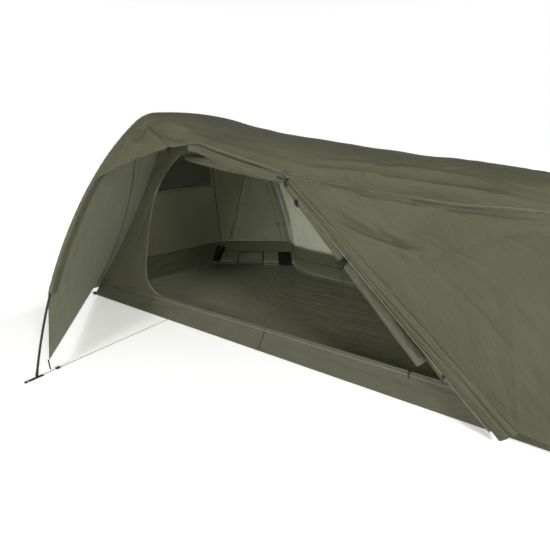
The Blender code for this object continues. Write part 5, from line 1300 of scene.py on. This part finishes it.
def addFlyGather():
    # The door's upper part, bunched: the section is an egg shape with pleats, waves of the angle that twist
    # slowly along the bunch, and it swells in the middle.
    share = np.linspace(0, 1, 160)
    s = flyRollSize
    x = s["gatherStart"] + (flySize["tieX"] - 0.012 - s["gatherStart"]) * share
    edge = flySurface(x, nearShare(x))
    swell = 0.28 + 0.68 * np.sin(math.pi * (0.08 + 0.84 * share)) ** 0.7
    high, deep = s["gatherHigh"] * swell, s["gatherDeep"] * swell
    centres = edge + np.stack([0 * x, deep * 0.35, -(high + 0.0013)], axis=1)
    angle = rollAngles(260)
    along = share[:, None]
    pleat = 0.70 + 0.30 * np.abs(np.sin(3.5 * angle + 1.2 * np.sin(4 * along))) ** 0.45
    pleat = pleat * (0.86 + 0.14 * np.abs(np.sin(6.5 * angle + 2.0 * np.sin(3 * along + 1.0))) ** 0.5)
    section = (np.array([0.0, -1.0, 0.0]), np.array([0.0, 0.0, 1.0]))
    rolledSheet(
        "flyDoorGather", "fly_door_gather", centres, section,
        np.stack([deep[:, None] * pleat, high[:, None] * pleat], axis=2), s["innerShare"],
        flyCloth,
    )


def addFlyZip():
    # the zip's tape along the roll's free side, with a coil: a round bead whose radius waves at its pitch
    s = flyRollSize
    shares = np.array([0.03, 0.97])
    offsets = 2 * rollHalf(shares) + s["gap"] + 0.0003 + s["zipWidth"] / 2
    ends = tie + (doorFoot - tie) * shares[:, None] + doorAcross * offsets[:, None]
    along = unit(ends[1] - ends[0])
    across = unit(np.cross(along, doorOut))
    across = across if across @ doorAcross > 0 else -across
    path = lerp(ends[0], ends[1], np.linspace(0, 1, 60))
    half, thick = s["zipWidth"] / 2, s["zipThick"] / 2
    outline = [(-half, -thick), (half, -thick * 0.6), (half, thick * 0.6), (-half, thick)]
    ring = np.array([across * u + doorOut * v for u, v in outline])
    body = carried(path, np.broadcast_to(ring, (len(path), 4, 3)))
    addPiece("flyZip", body, oliveTape, ["fly_zip"], sharpAngle=30)
    length = float(np.linalg.norm(ends[1] - ends[0]))
    t = np.linspace(0.002, 0.998, 1400)
    coilPath = lerp(ends[0], ends[1], t) + across * (half * 0.55) + doorOut * (thick * 0.25)
    radius = s["coilRadius"] * (1 + 0.28 * np.sin(fullTurn * t * length / s["coilPitch"]))
    roundTube("flyZipCoil", coilPath, radius, olivePlastic, (), 8, tuple(doorOut))


innerRollSize = {
    "topRadius": 0.0220, "sideRadius": 0.0240, "innerShare": 0.50, "topGap": 0.0020, "tieRoom": 0.0004,
    "tieThick": 0.0012, "sideGap": 0.0006, "towardsDoorway": 0.007,
}
doorTies = {
    # node, distance down the side roll, width
    "doorTieUpper": ("door_tie_upper", 0.120, 0.016),
    "doorTieLower": ("door_tie_lower", 0.400, 0.024),
}


def rollSection(axis):
    # two directions square to the roll's axis: level, and upright
    side = unit(np.cross(axis, np.array([0.0, 0.0, 1.0])))
    return side, np.cross(side, axis)


def addInnerRolls():
    s = innerRollSize
    flatSide = math.cos(math.pi / 12)  # the solid's rolls have twelve sides, and these lie on the same line
    topLeft = roofNearEdge(innerSize["doorLeftTop"] + 0.015)
    share = np.linspace(0, 1, 140)
    x = topLeft[0] + (doorTop[0] - 0.030 - topLeft[0]) * share
    fat = 0.45 + 0.55 * np.sin(math.pi * np.clip(share * 0.86 + 0.07, 0, 1)) ** 0.5
    drop = s["topRadius"] * flatSide + s["topGap"] - innerSize["roofSeam"]
    centres = roofNearEdge(x) - np.array([0.0, 0.0, drop])
    angle = rollAngles(210)
    along = share[:, None]
    # its wraps pull it into shallow diagonal folds
    pleat = 0.76 + 0.24 * np.abs(np.sin(2.5 * angle + 2.0 * np.sin(5 * along))) ** 0.45
    rough = s["topRadius"] * fat[:, None] * pleat
    rough = rough * (0.92 + 0.08 * np.abs(np.sin(5.5 * angle + 3 * along)) ** 0.5)
    rolledSheet(
        "doorRollTop", "door_roll_top", centres, rollSection(unit(doorTop - topLeft)),
        np.stack([rough, rough], axis=2), s["innerShare"], innerCloth,
    )
    radius = s["sideRadius"]
    out = (radius + s["tieRoom"] + s["tieThick"]) * flatSide + s["sideGap"]
    slope = unit(wallPoint(innerSize["doorFoot"], sill) - doorTop)
    facing = np.array([0.0, -1.0, 0.0])
    facing = unit(facing - slope * (slope @ facing))
    # it bulges out of the doorway's slanted edge, so that it shows beside the fly's roll
    bulge = facing * out + unit(np.cross(slope, facing)) * s["towardsDoorway"]
    distances = np.linspace(0.020, (doorTop[2] - 0.170) / abs(slope[2]), 180)
    centres = doorTop + slope * distances[:, None] + bulge
    side, up = rollSection(slope)
    along = distances[:, None]
    # each tie draws the roll in a little, and the folds run out from it on both sides
    upper, lower = doorTies["doorTieUpper"][1], doorTies["doorTieLower"][1]
    waist = 1 - 0.07 * np.exp(-(((along - upper) / 0.012) ** 2))
    waist = waist - 0.07 * np.exp(-(((along - lower) / 0.016) ** 2))
    rough = radius * waist * (1 - 0.03 * (1 + np.sin(4 * angle + 30 * along)))
    rough = rough * (1 - 0.015 * (1 + np.sin(7 * angle - 55 * along)))
    rough = rough * np.clip((along - 0.012) / 0.02, 0.4, 1) ** 0.5
    rolledSheet(
        "doorRollSide", "door_roll_side", centres, (side, up), np.stack([rough, rough], axis=2),
        s["innerShare"], innerCloth,
    )
    for name, (node, distance, width) in doorTies.items():
        # a band round the roll with rounded edges: its section is carried round in a ring
        count, around = 14, 72
        turn = np.linspace(0, fullTurn, around, endpoint=False)
        section = np.linspace(0, fullTurn, count, endpoint=False)
        offset = np.sign(np.cos(section)) * np.abs(np.cos(section)) ** 0.35 * width / 2
        rise = np.sign(np.sin(section)) * np.abs(np.sin(section)) ** 0.5 * s["tieThick"] / 2
        ring = radius + s["tieRoom"] + s["tieThick"] / 2 + rise
        spokes = spokesOf(side[None], up[None], around)[0]
        points = doorTop + slope * distance + bulge + spokes[:, None] * ring[None, :, None]
        points = points + slope * offset[None, :, None]
        index = np.arange(around * count).reshape(around, count)
        quads = ringFaces(np.concatenate([index, index[:1]]))
        uv = np.stack(np.broadcast_arrays(offset[None, :], (turn * radius)[:, None]), axis=2).reshape(-1, 2)
        addPiece(name, (points.reshape(-1, 3), [quads], uv), blackWebbing, [node])


addFlyRoll()
addFlyGather()
addFlyZip()
addInnerRolls()
print("rolled doors ready")


# Pockets, seams and tapes


def tapeOn(name, points, a, b, side, width, finish, lift=0.0, inside=tentMiddle):
    # a tape that lies on the outer face, side 1, or on the inner face, side -1, along shares a and b
    path = sampleGrid(points, a, b)
    facing = unit(sampleGrid(surfaceNormals(points, inside), a, b)) * side
    if side < 0:
        path = path + facing * clothThickness
    flatTape(name, path + facing * (0.00015 + lift), facing, width, 0.0008, finish)


pockets = {
    # on the back bathtub wall: node, start and end as shares of the head's part of it, height, finish, seed
    "meshPocket": ("mesh_pocket", 0.28, 0.62, 0.110, oliveNet, 1),
    "hoopPocket": ("hoop_pocket", 0.82, 0.985, 0.112, blackWebbing, 2),
}
run = np.linspace(0.02, 0.98, 50)
pocketEdges = {
    "Mouth": (0 * run + 0.975, run), "Foot": (0 * run + 0.03, run),
    "Left": (run, 0 * run + 0.02), "Right": (run, 0 * run + 0.98),
}
for name, (node, start, end, height, finish, seed) in pockets.items():
    # a flat pouch against the wall: its face stands off it in a low bulge, a power of sin(pi u) across,
    # which rises from the foot to half the height
    v, u = grid(40, 60)
    wall = backTub(v * height / tub, hoopShare * (start + (end - start) * u))
    stand = 0.0035 + 0.0130 * np.sin(math.pi * u) ** 0.6 * np.sin(math.pi / 2 * np.minimum(v / 0.5, 1)) ** 0.8
    stand = stand + 0.0012 * np.sin(9 * u + 3 * v + seed) * np.sin(math.pi * u)
    clothOf[name] = wall + inwardFrom(wall) * stand[..., None]
    addPiece(name, clothShell(clothOf[name], 0.0012), finish, [node])
for name in pockets:
    for edge, (up, along) in pocketEdges.items():
        tapeOn(name + edge, clothOf[name], up, along, -1, 0.007, darkTape, 0.0022)
print("pockets ready")

sillSeam = (0.577 - innerSize["headX"]) / (innerSize["footX"] - innerSize["headX"])
trims = {
    # tapes and seams, and three tapes that paint the leg's shadow: the panel they lie on, shares of its
    # height, shares of its width, side, width, finish
    "tubBackHem": ("tubBack", (0.985, 0.985), (0.01, 0.99), -1, 0.0055, darkTape),
    "tubBackSeam": ("tubBack", (0.57, 0.57), (0.04, 0.97), -1, 0.0030, darkTape),
    "tubBackFoot": ("tubBack", (0.045, 0.045), (0.005, 0.985), -1, 0.0120, seamTape),
    "tubHeadHem": ("tubHead", (0.975, 0.975), (0.02, 0.985), -1, 0.0045, darkTape),
    "goreTape": ("headGore", (0.03, 0.97), (0.955, 0.955), -1, 0.0080, oliveTape),
    "backWallTape": ("backWall", (0.03, 0.97), (0.022, 0.022), -1, 0.0080, paleTape),
    "headWallSeam": ("headWall", (0.03, 0.97), (0.985, 0.985), -1, 0.0045, darkTape),
    # painted shadow: the pale tape along the hoop's leg and its two dark edge lines block the light through
    # the back wall and stand in for the shadow that the fly's sleeve and pole cast on it
    "legShadowTape": ("backWall", (0.01, 0.98), (0.972, 0.972), -1, 0.0180, paleTape),
    "legShadowTapeEdge": ("backWall", (0.01, 0.98), (0.948, 0.940), -1, 0.0030, darkTape),
    "legShadowTapeSide": ("backMesh", (0.01, 0.98), (0.010, 0.010), -1, 0.0040, darkTape),
    "meshHem": ("backMesh", (0.012, 0.012), (0.01, 0.98), -1, 0.0080, oliveTape),
    "sillSeam": ("tubNear", (0.04, 0.96), (sillSeam, sillSeam), 1, 0.0035, darkTape),
    "sillHem": ("tubNear", (0.865, 0.865), (0.01, 0.98), 1, 0.0045, oliveTape),
    "doorPiping": ("nearWallHead", (0.005, 0.99), (0.982, 0.982), 1, 0.0055, paleTape),
    "cornerPatchHead": ("tubHead", (0.10, 0.84), (0.984, 0.976), -1, 0.0330, darkTape),
    "cornerPatchBack": ("tubBack", (0.08, 0.78), (0.0065, 0.012), -1, 0.0340, darkTape),
    "hipSeam": ("headEnd", (0.02, 0.97), (0.014, 0.014), -1, 0.0040, darkTape),
    "roofSeam": ("flyRoof", (0.17, 0.985), (0.010, 0.010), 1, 0.0065, seamTape),
    "backPanelSeam": ("flyBack", (0.02, 0.98), (0.010, 0.010), 1, 0.0065, seamTape),
}
for name, (panel, up, along, side, width, finish) in trims.items():
    inside = headInside if panel == "headEnd" else tentMiddle
    a, b = np.linspace(*up, 150), np.linspace(*along, 150)
    tapeOn(name, clothOf[panel], a, b, side, width, finish, 0.0, inside)


def addWindow():
    # the head wall's net window: dark net over the cloth, its lower edge level, its top just under the seam
    wall = clothOf["headWall"]
    a, b = np.meshgrid(np.linspace(0.66, 0.93, 60), np.linspace(0.06, 0.94, 60), indexing="ij")
    points = sampleGrid(wall, a, b) - unit(sampleGrid(surfaceNormals(wall, tentMiddle), a, b)) * 0.0032
    addPanel("headWindow", points, darkNet, [])
    hem = np.linspace(0.03, 0.96, 100)
    tapeOn("headWindowHem", wall, 0 * hem + 0.645, hem, -1, 0.007, oliveTape, 0.003)


addWindow()

toggles = {
    # at the fly door's tie point: offset from it, axis, length, radius
    "tieToggleUpper": ((-0.024, -0.014, -0.008), (1.0, 0.0, -0.35), 0.024, 0.0038),
    "tieToggleLower": ((0.002, -0.017, -0.026), (0.25, 0.0, -1.0), 0.022, 0.0034),
}


def addToggles():
    # each toggle is a barrel with a waist where its cord holds it, and a loop of cord stands up from the seam
    t = np.linspace(-1, 1, 60)
    for name, (offset, axis, length, radius) in toggles.items():
        path = tie + np.array(offset) + unit(np.array(axis)) * (t[:, None] * length / 2)
        waist = 1 - 0.35 * np.exp(-((t / 0.18) ** 2))
        profile = radius * np.maximum(1 - np.abs(t) ** 8, 0.02) ** 0.5 * waist
        roundTube(name, path, profile, blackPlastic, (), 20, (0, -1, 0))
    turn = np.linspace(-0.4, fullTurn - 1.2, 60)
    loop = np.stack([0.008 * np.cos(turn), -0.006 + 0 * turn, 0.004 + 0.011 * np.sin(turn)], axis=1)
    roundTube("tieLoop", tie + np.array([-0.006, -0.004, 0.004]) + loop, 0.0013, tieCord, (), 10, (0, -1, 0))


hoopCord = {
    # a thin elastic cord from the far shoulder to the pocket, and the small hook that holds it to the hoop
    "route": ((-0.012, 0.560, 0.630), (-0.006, 0.655, 0.440), (-0.004, 0.715, 0.320), (-0.012, 0.775, 0.150)),
    "radius": 0.0013,
    "hook": (-0.004, 0.708, 0.334),
    "hookReach": 0.014,
    "hookRadius": 0.0022,
}


def addHoopCord():
    path = fromPolyline(hoopCord["route"])(np.linspace(0, 1, 120))
    roundTube("hoopCord", path, hoopCord["radius"], elasticCord, (), 10, (1, 0, 0))
    reach = hoopCord["hookReach"]
    turn = np.linspace(0.3, fullTurn - 0.9, 60)
    ring = np.stack([reach * np.cos(turn), 0 * turn, 0.6 * reach * np.sin(turn)], axis=1)
    hook = np.array(hoopCord["hook"]) + ring
    roundTube("hoopCordHook", hook, hoopCord["hookRadius"], blackPlastic, (), 12, (0, 1, 0))


addToggles()
addHoopCord()
print("seams and trims ready")


# Poles, tips and the ground line

alongTent = np.array([[1.0, 0.0, 0.0]])
poleSize = {
    "radius": 0.00425, "bore": 0.0034, "spigot": 0.0029, "spigotBore": 0.0020, "spigotLength": 0.030,
    "mainLower": 0.500, "footLower": 0.420, "tipLength": 0.022, "footEnd": 0.006, "edge": 0.0006,
    "gap": 0.0003,
}


def addPoles(hoop, x, prefix, names, cuts):
    # Each section is a hollow tube along the hoop, made of rows with a share and two radii, outer and bore.
    # All but the last end in a thinner spigot that goes into the next one.
    s = poleSize
    step, edge = s["spigotLength"] / hoop["length"], s["edge"] / hoop["length"]
    rounded = s["radius"] * 0.93
    for k, name in enumerate(names):
        start, end = cuts[k] + (s["gap"] / hoop["length"] if k else 0.0), cuts[k + 1]
        last = k == len(names) - 1
        share = [start, start + edge, *np.linspace(start + 2 * edge, end - (edge if last else step), 90)]
        outer = [rounded] + [s["radius"]] * 91
        bore = [s["bore"]] * 92
        if last:
            share, outer, bore = share + [end], outer + [rounded], bore + [s["bore"]]
        else:
            share += [end - step + edge / 4, end - edge, end, end + edge / 8, end + step - edge, end + step]
            outer += [s["radius"], s["radius"], rounded, s["spigot"], s["spigot"], s["spigot"] * 0.85]
            bore += [s["spigotBore"]] * 6
        share, outer, bore = np.array(share), np.array(outer)[:, None, None], np.array(bore)[:, None, None]
        centres = onHoop(hoop, share, 0.0, x)[:, None]
        spokes = spokesOf(alongTent, outOfHoop(hoop, share), 20)
        around = np.linspace(0, fullTurn, 20, endpoint=False) * 0.004
        body = hollowBody(centres + spokes * outer, centres + spokes * bore, around, share * hoop["length"])
        title = "".join(word.title() for word in name.split("_"))
        addPiece(f"{prefix}Pole{title}", body, blackTube, [f"{prefix}_pole_{name}"], sharpAngle=40)


tipShare = poleSize["tipLength"] / mainHoop["length"]
lowerShare = poleSize["mainLower"] / mainHoop["length"]
legAndElbow = mainHoopSize["leg"][0] + mainHoopSize["elbow"][0]
elbowEnd = legAndElbow / (2 * (legAndElbow + mainHoopSize["crownHalf"]))
mainCuts = [tipShare, lowerShare, elbowEnd, 1 - elbowEnd, 1 - lowerShare, 1 - tipShare]
addPoles(mainHoop, 0.0, "main", ("near_lower", "near_upper", "crown", "far_upper", "far_lower"), mainCuts)
footLow, footLower = poleSize["footEnd"] / footHoop["length"], poleSize["footLower"] / footHoop["length"]
addPoles(footHoop, footX, "foot", ("near", "crown", "far"), [footLow, footLower, 1 - footLower, 1 - footLow])

tipProfile = (
    # a turned plug: nose, shoulder, grooved collar, and a stem inside the pole. Distance from the foot, and
    # radius there.
    (0.0, 0.0034), (0.0006, 0.0040), (0.0060, 0.0040), (0.0078, 0.0052), (0.0110, 0.0052), (0.0114, 0.0048),
    (0.0124, 0.0048), (0.0128, 0.0052), (0.0158, 0.0052), (0.0162, 0.0048), (0.0172, 0.0048),
    (0.0176, 0.0052), (0.0212, 0.0052), (0.0217, 0.0047), (0.02172, 0.0029), (0.0520, 0.0029),
)
for name, node, mirrored in (
    ("poleTipNear", "main_pole_tip_near", False), ("poleTipFar", "main_pole_tip_far", True),
):
    distances, radii = np.array(tipProfile).T
    share = distances / mainHoop["length"]
    share = 1 - share if mirrored else share
    spokes = spokesOf(alongTent, outOfHoop(mainHoop, share), 28)
    corners, faces, uv = carried(onHoop(mainHoop, share), spokes * radii[:, None, None])
    corners[:, 2] = np.maximum(corners[:, 2], 0.0)
    addPiece(name, (corners, faces, uv), blackPlastic, [node], sharpAngle=35)

strapSize = {
    "width": 0.015, "thick": 0.0016, "length": 0.066, "reach": 0.024,
    "eyes": ((0.024, 0.0046), (0.054, 0.0042)),  # place along the strap, and radius
}
strapStart = mainHoopSize["halfWidth"] - strapSize["reach"]
cordSize = {"radius": 0.0012, "gap": 0.0003}


def addBaseCord():
    end, height = strapStart - cordSize["gap"], cordSize["radius"]
    path = lerp(np.array([0.0, -end, height]), np.array([0.0, end, height]), np.linspace(0, 1, 240))
    roundTube("baseCord", path, cordSize["radius"], greyCord, ["base_cord"])


loopSize = {
    "width": 0.015, "thick": 0.0009, "drop": 0.018, "length": 0.060, "gap": 0.0003, "ground": 0.0008,
    "turn": 0.0011, "pegRoom": 0.042, "arch": 0.0075, "back": 0.0024, "least": 0.0009,
}


def addLoop(name, node, top, along):
    # a peg loop: webbing comes down from the corner, lies on the ground, turns over the peg and comes back.
    # The lower run lies flat and the upper one arches a little over it, by sin(pi t).
    s = loopSize
    ground = np.array([top[0], top[1], s["ground"]])
    end = ground + along * s["length"]
    lower = fromPolyline([top, ground + along * s["drop"], end])(np.linspace(0, 1, 70))
    distance = np.linalg.norm(lower - end, axis=1)
    share = np.clip(distance / s["pegRoom"], 0, 1)
    arch = s["arch"] * np.sin(math.pi * share) ** 0.8 * (distance < s["pegRoom"])
    upper = lower + np.array([0.0, 0.0, 2 * s["turn"]])
    upper[:, 2] += arch
    turn = np.linspace(-math.pi / 2, math.pi / 2, 12)[1:-1]
    up = s["turn"] + s["turn"] * np.sin(turn)
    tip = end + along * (s["turn"] * np.cos(turn))[:, None] + np.array([0.0, 0.0, 1.0]) * up[:, None]
    path = np.concatenate([lower, tip, upper[::-1]]) - along * s["back"]
    path = path[np.concatenate([[True], np.linalg.norm(np.diff(path, axis=0), axis=1) > 1e-5])]
    across = unit(np.cross(np.array([0.0, 0.0, 1.0]), along))
    facing = unit(np.cross(unit(np.gradient(path, axis=0)), across))
    path[:, 2] = np.maximum(path[:, 2], s["least"])
    flatTape(name, path, facing, s["width"], s["thick"], blackWebbing, [node])


def eyeStrap(start, end, width, thick, eyes):
    # a strap with round eyes: plain lengths between, and round each eye a ring from a square to its circle
    along = unit(end - start)
    across = np.cross(np.array([0.0, 0.0, 1.0]), along)
    half, count = width / 2, 32
    edges = [0.0, *[centre + side for centre, radius in eyes for side in (-half, half)]]
    edges.append(float(np.linalg.norm(end - start)))
    places, quads, filled = [], [], 0
    for low, high in zip(edges[::2], edges[1::2]):
        places.append(np.array([(low, -half), (high, -half), (high, half), (low, half)]))
        quads.append(np.arange(4)[None, :] + filled)
        filled += 4
    turn = fullTurn * (np.arange(count) + 0.5) / count
    spokes = np.stack([np.cos(turn), np.sin(turn)], axis=1)
    square = spokes * (half / np.abs(spokes).max(axis=1))[:, None]
    ring = np.arange(2 * count).reshape(2, count)
    for centre, radius in eyes:
        places.append(np.concatenate([square, spokes * radius]) + np.array([centre, 0.0]))
        quads.append(ringFaces(ring) + filled)
        filled += 2 * count
    flat, quads = np.concatenate(places), np.concatenate(quads)
    top = start + along * flat[:, :1] + across * flat[:, 1:] + np.array([0.0, 0.0, thick / 2])
    bottom = top - np.array([0.0, 0.0, thick])
    # an edge that no face runs along the other way is on the rim, and gets a side face
    runs = np.concatenate([quads[:, [k, (k + 1) % 4]] for k in range(4)])
    rim = runs[~np.isin(runs[:, 0] * filled + runs[:, 1], runs[:, 1] * filled + runs[:, 0])]
    sides = np.stack([rim[:, 1], rim[:, 0], rim[:, 0] + filled, rim[:, 1] + filled], axis=1)
    uv = np.concatenate([flat[:, ::-1], flat[:, ::-1]])
    return np.concatenate([top, bottom]), [quads, quads[:, ::-1] + filled, sides], uv


webSize = {"x": -0.014, "start": 0.0027, "gap": 0.0003, "back": 0.0008, "width": 0.010, "thick": 0.0014}


def addGroundStraps():
    for name, node, corner, direction in (
        ("headLoopNear", "head_loop_near", headNear, (-0.75, -0.55, 0.0)),
        ("headLoopFar", "head_loop_far", headFar, (-0.75, 0.55, 0.0)),
        ("footLoopNear", "foot_loop_near", footNear, (0.85, -0.40, 0.0)),
        ("footLoopFar", "foot_loop_far", footFar, (0.85, 0.40, 0.0)),
    ):
        along = unit(np.array(direction))
        addLoop(name, node, corner + along * loopSize["gap"], along)
    s, web = strapSize, webSize
    cornerY, cornerZ = flySize["mainCorner"]
    for side, end in ((-1, "Near"), (1, "Far")):
        # the strap under the hoop's foot with its two eyes, and the webbing from it up to the fly's corner
        start = np.array([0.0, side * strapStart, s["thick"] / 2])
        tip = start + np.array([0.0, side * s["length"], 0.0])
        body = eyeStrap(start, tip, s["width"], s["thick"], s["eyes"])
        addPiece("hoopStrap" + end, body, blackWebbing, ["hoop_strap_" + end.lower()], sharpAngle=30)
        z = web["start"] + (cornerZ - web["gap"] - web["start"]) * np.linspace(0, 1, 30)
        path = np.stack([np.full(30, web["x"]), np.full(30, side * cornerY), z], axis=1)
        facing = np.broadcast_to(np.array([0.0, float(side), 0.0]), path.shape)
        path = path - facing * web["back"]
        node = "corner_web_" + end.lower()
        flatTape("cornerWeb" + end, path, facing, web["width"], web["thick"], blackWebbing, [node])


addBaseCord()
addGroundStraps()
print("poles and ground line ready")


# Materials on the moulded parts kept from the CAD, and on the elastic cord in the poles

keptParts = (
    "hang_clip", "clip_pull", "sill_slider", "sill_pull", "fly_slider", "fly_pull", "cord_adjuster",
    "head_buckle", "buckle_tongue", "main_shock_cord",
)
for nodeName in keptParts:
    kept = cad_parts[nodeName]
    kept.data.materials.clear()
    kept.data.materials.append((greyCord if nodeName == "main_shock_cord" else blackPlastic)[0])


# Floor and lights


def stageMaterial(name, colour):
    # pale paper that glows more with the distance from the tent, where the lights no longer reach it
    material = startMaterial(name)
    place = addNode(material, "NewGeometry", output="Position")
    distance = addNode(material, "VectorMath", {0: place}, output="Value", operation="LENGTH")
    ranges = {"From Min": 1.6, "From Max": 4.5, "To Min": 0.26, "To Max": 1.0}
    glow = addNode(material, "MapRange", {"Value": distance}, ranges)
    look = {
        "Roughness": 0.9, "Specular IOR Level": 0.0, "Base Color": toLinear(colour),
        "Emission Color": toLinear(colour),
    }
    shader = addNode(material, "BsdfPrincipled", {"Emission Strength": glow}, look)
    addNode(material, "OutputMaterial", {"Surface": shader})
    return material


stageSize = {"half": 30, "depth": 0.0005}  # it lies just under the tent
stageMesh = bpy.data.meshes.new("stageFloor")
stageCorners = [
    (x * stageSize["half"], y * stageSize["half"], -stageSize["depth"])
    for x, y in ((-1, -1), (1, -1), (1, 1), (-1, 1))
]
stageMesh.from_pydata(stageCorners, [], [(0, 1, 2, 3)])
stageMesh.materials.append(stageMaterial("paleFloor", "#f2f2f0"))
stageFloor = bpy.data.objects.new("stageFloor", stageMesh)
bpy.context.scene.collection.objects.link(stageFloor)

lightSetup = {
    "frontLight": {"place": (-0.1, -4.0, 1.6), "aim": (0.2, 0.0, 0.4), "size": 1.1, "power": 92.0},
    "rightLight": {"place": (4.2, -2.6, 2.8), "aim": (0.2, 0.0, 0.4), "size": 1.3, "power": 245.0},
    "farLight": {"place": (-0.2, 3.2, 0.8), "aim": (-0.6, 0.3, 0.4), "size": 1.6, "power": 250.0},
}
for name, setup in lightSetup.items():
    data = bpy.data.lights.new(name, "AREA")
    data.size = setup["size"]
    data.energy = setup["power"]
    light = bpy.data.objects.new(name, data)
    light.location = setup["place"]
    aim = np.array(setup["aim"]) - np.array(setup["place"])
    level = math.hypot(aim[0], aim[1])
    light.rotation_euler = (math.atan2(level, -aim[2]), 0.0, math.atan2(aim[1], aim[0]) - math.pi / 2)
    bpy.context.scene.collection.objects.link(light)
    light.visible_glossy = False  # soft light on the cloth, with no bright streaks where it is seen edge on

# a studio's white surround: full brightness level with the tent, darker overhead
world = bpy.data.worlds.new("studio")
world.use_nodes = True
bpy.context.scene.world = world
background = world.node_tree.nodes["Background"]
worldPlace = addNode(world, "TexCoord", output="Generated")
worldHeight = addNode(world, "SeparateXYZ", {"Vector": worldPlace}, output="Z")
ranges = {"From Min": 0.30, "From Max": 0.75, "To Min": 1.0, "To Max": 0.12}
worldGlow = addNode(world, "MapRange", {"Value": worldHeight}, ranges)
world.node_tree.links.new(worldGlow, background.inputs["Strength"])
background.inputs["Color"].default_value = toLinear("#ffffff")
bpy.context.scene.view_settings.view_transform = "Standard"
print("stage and lights ready")
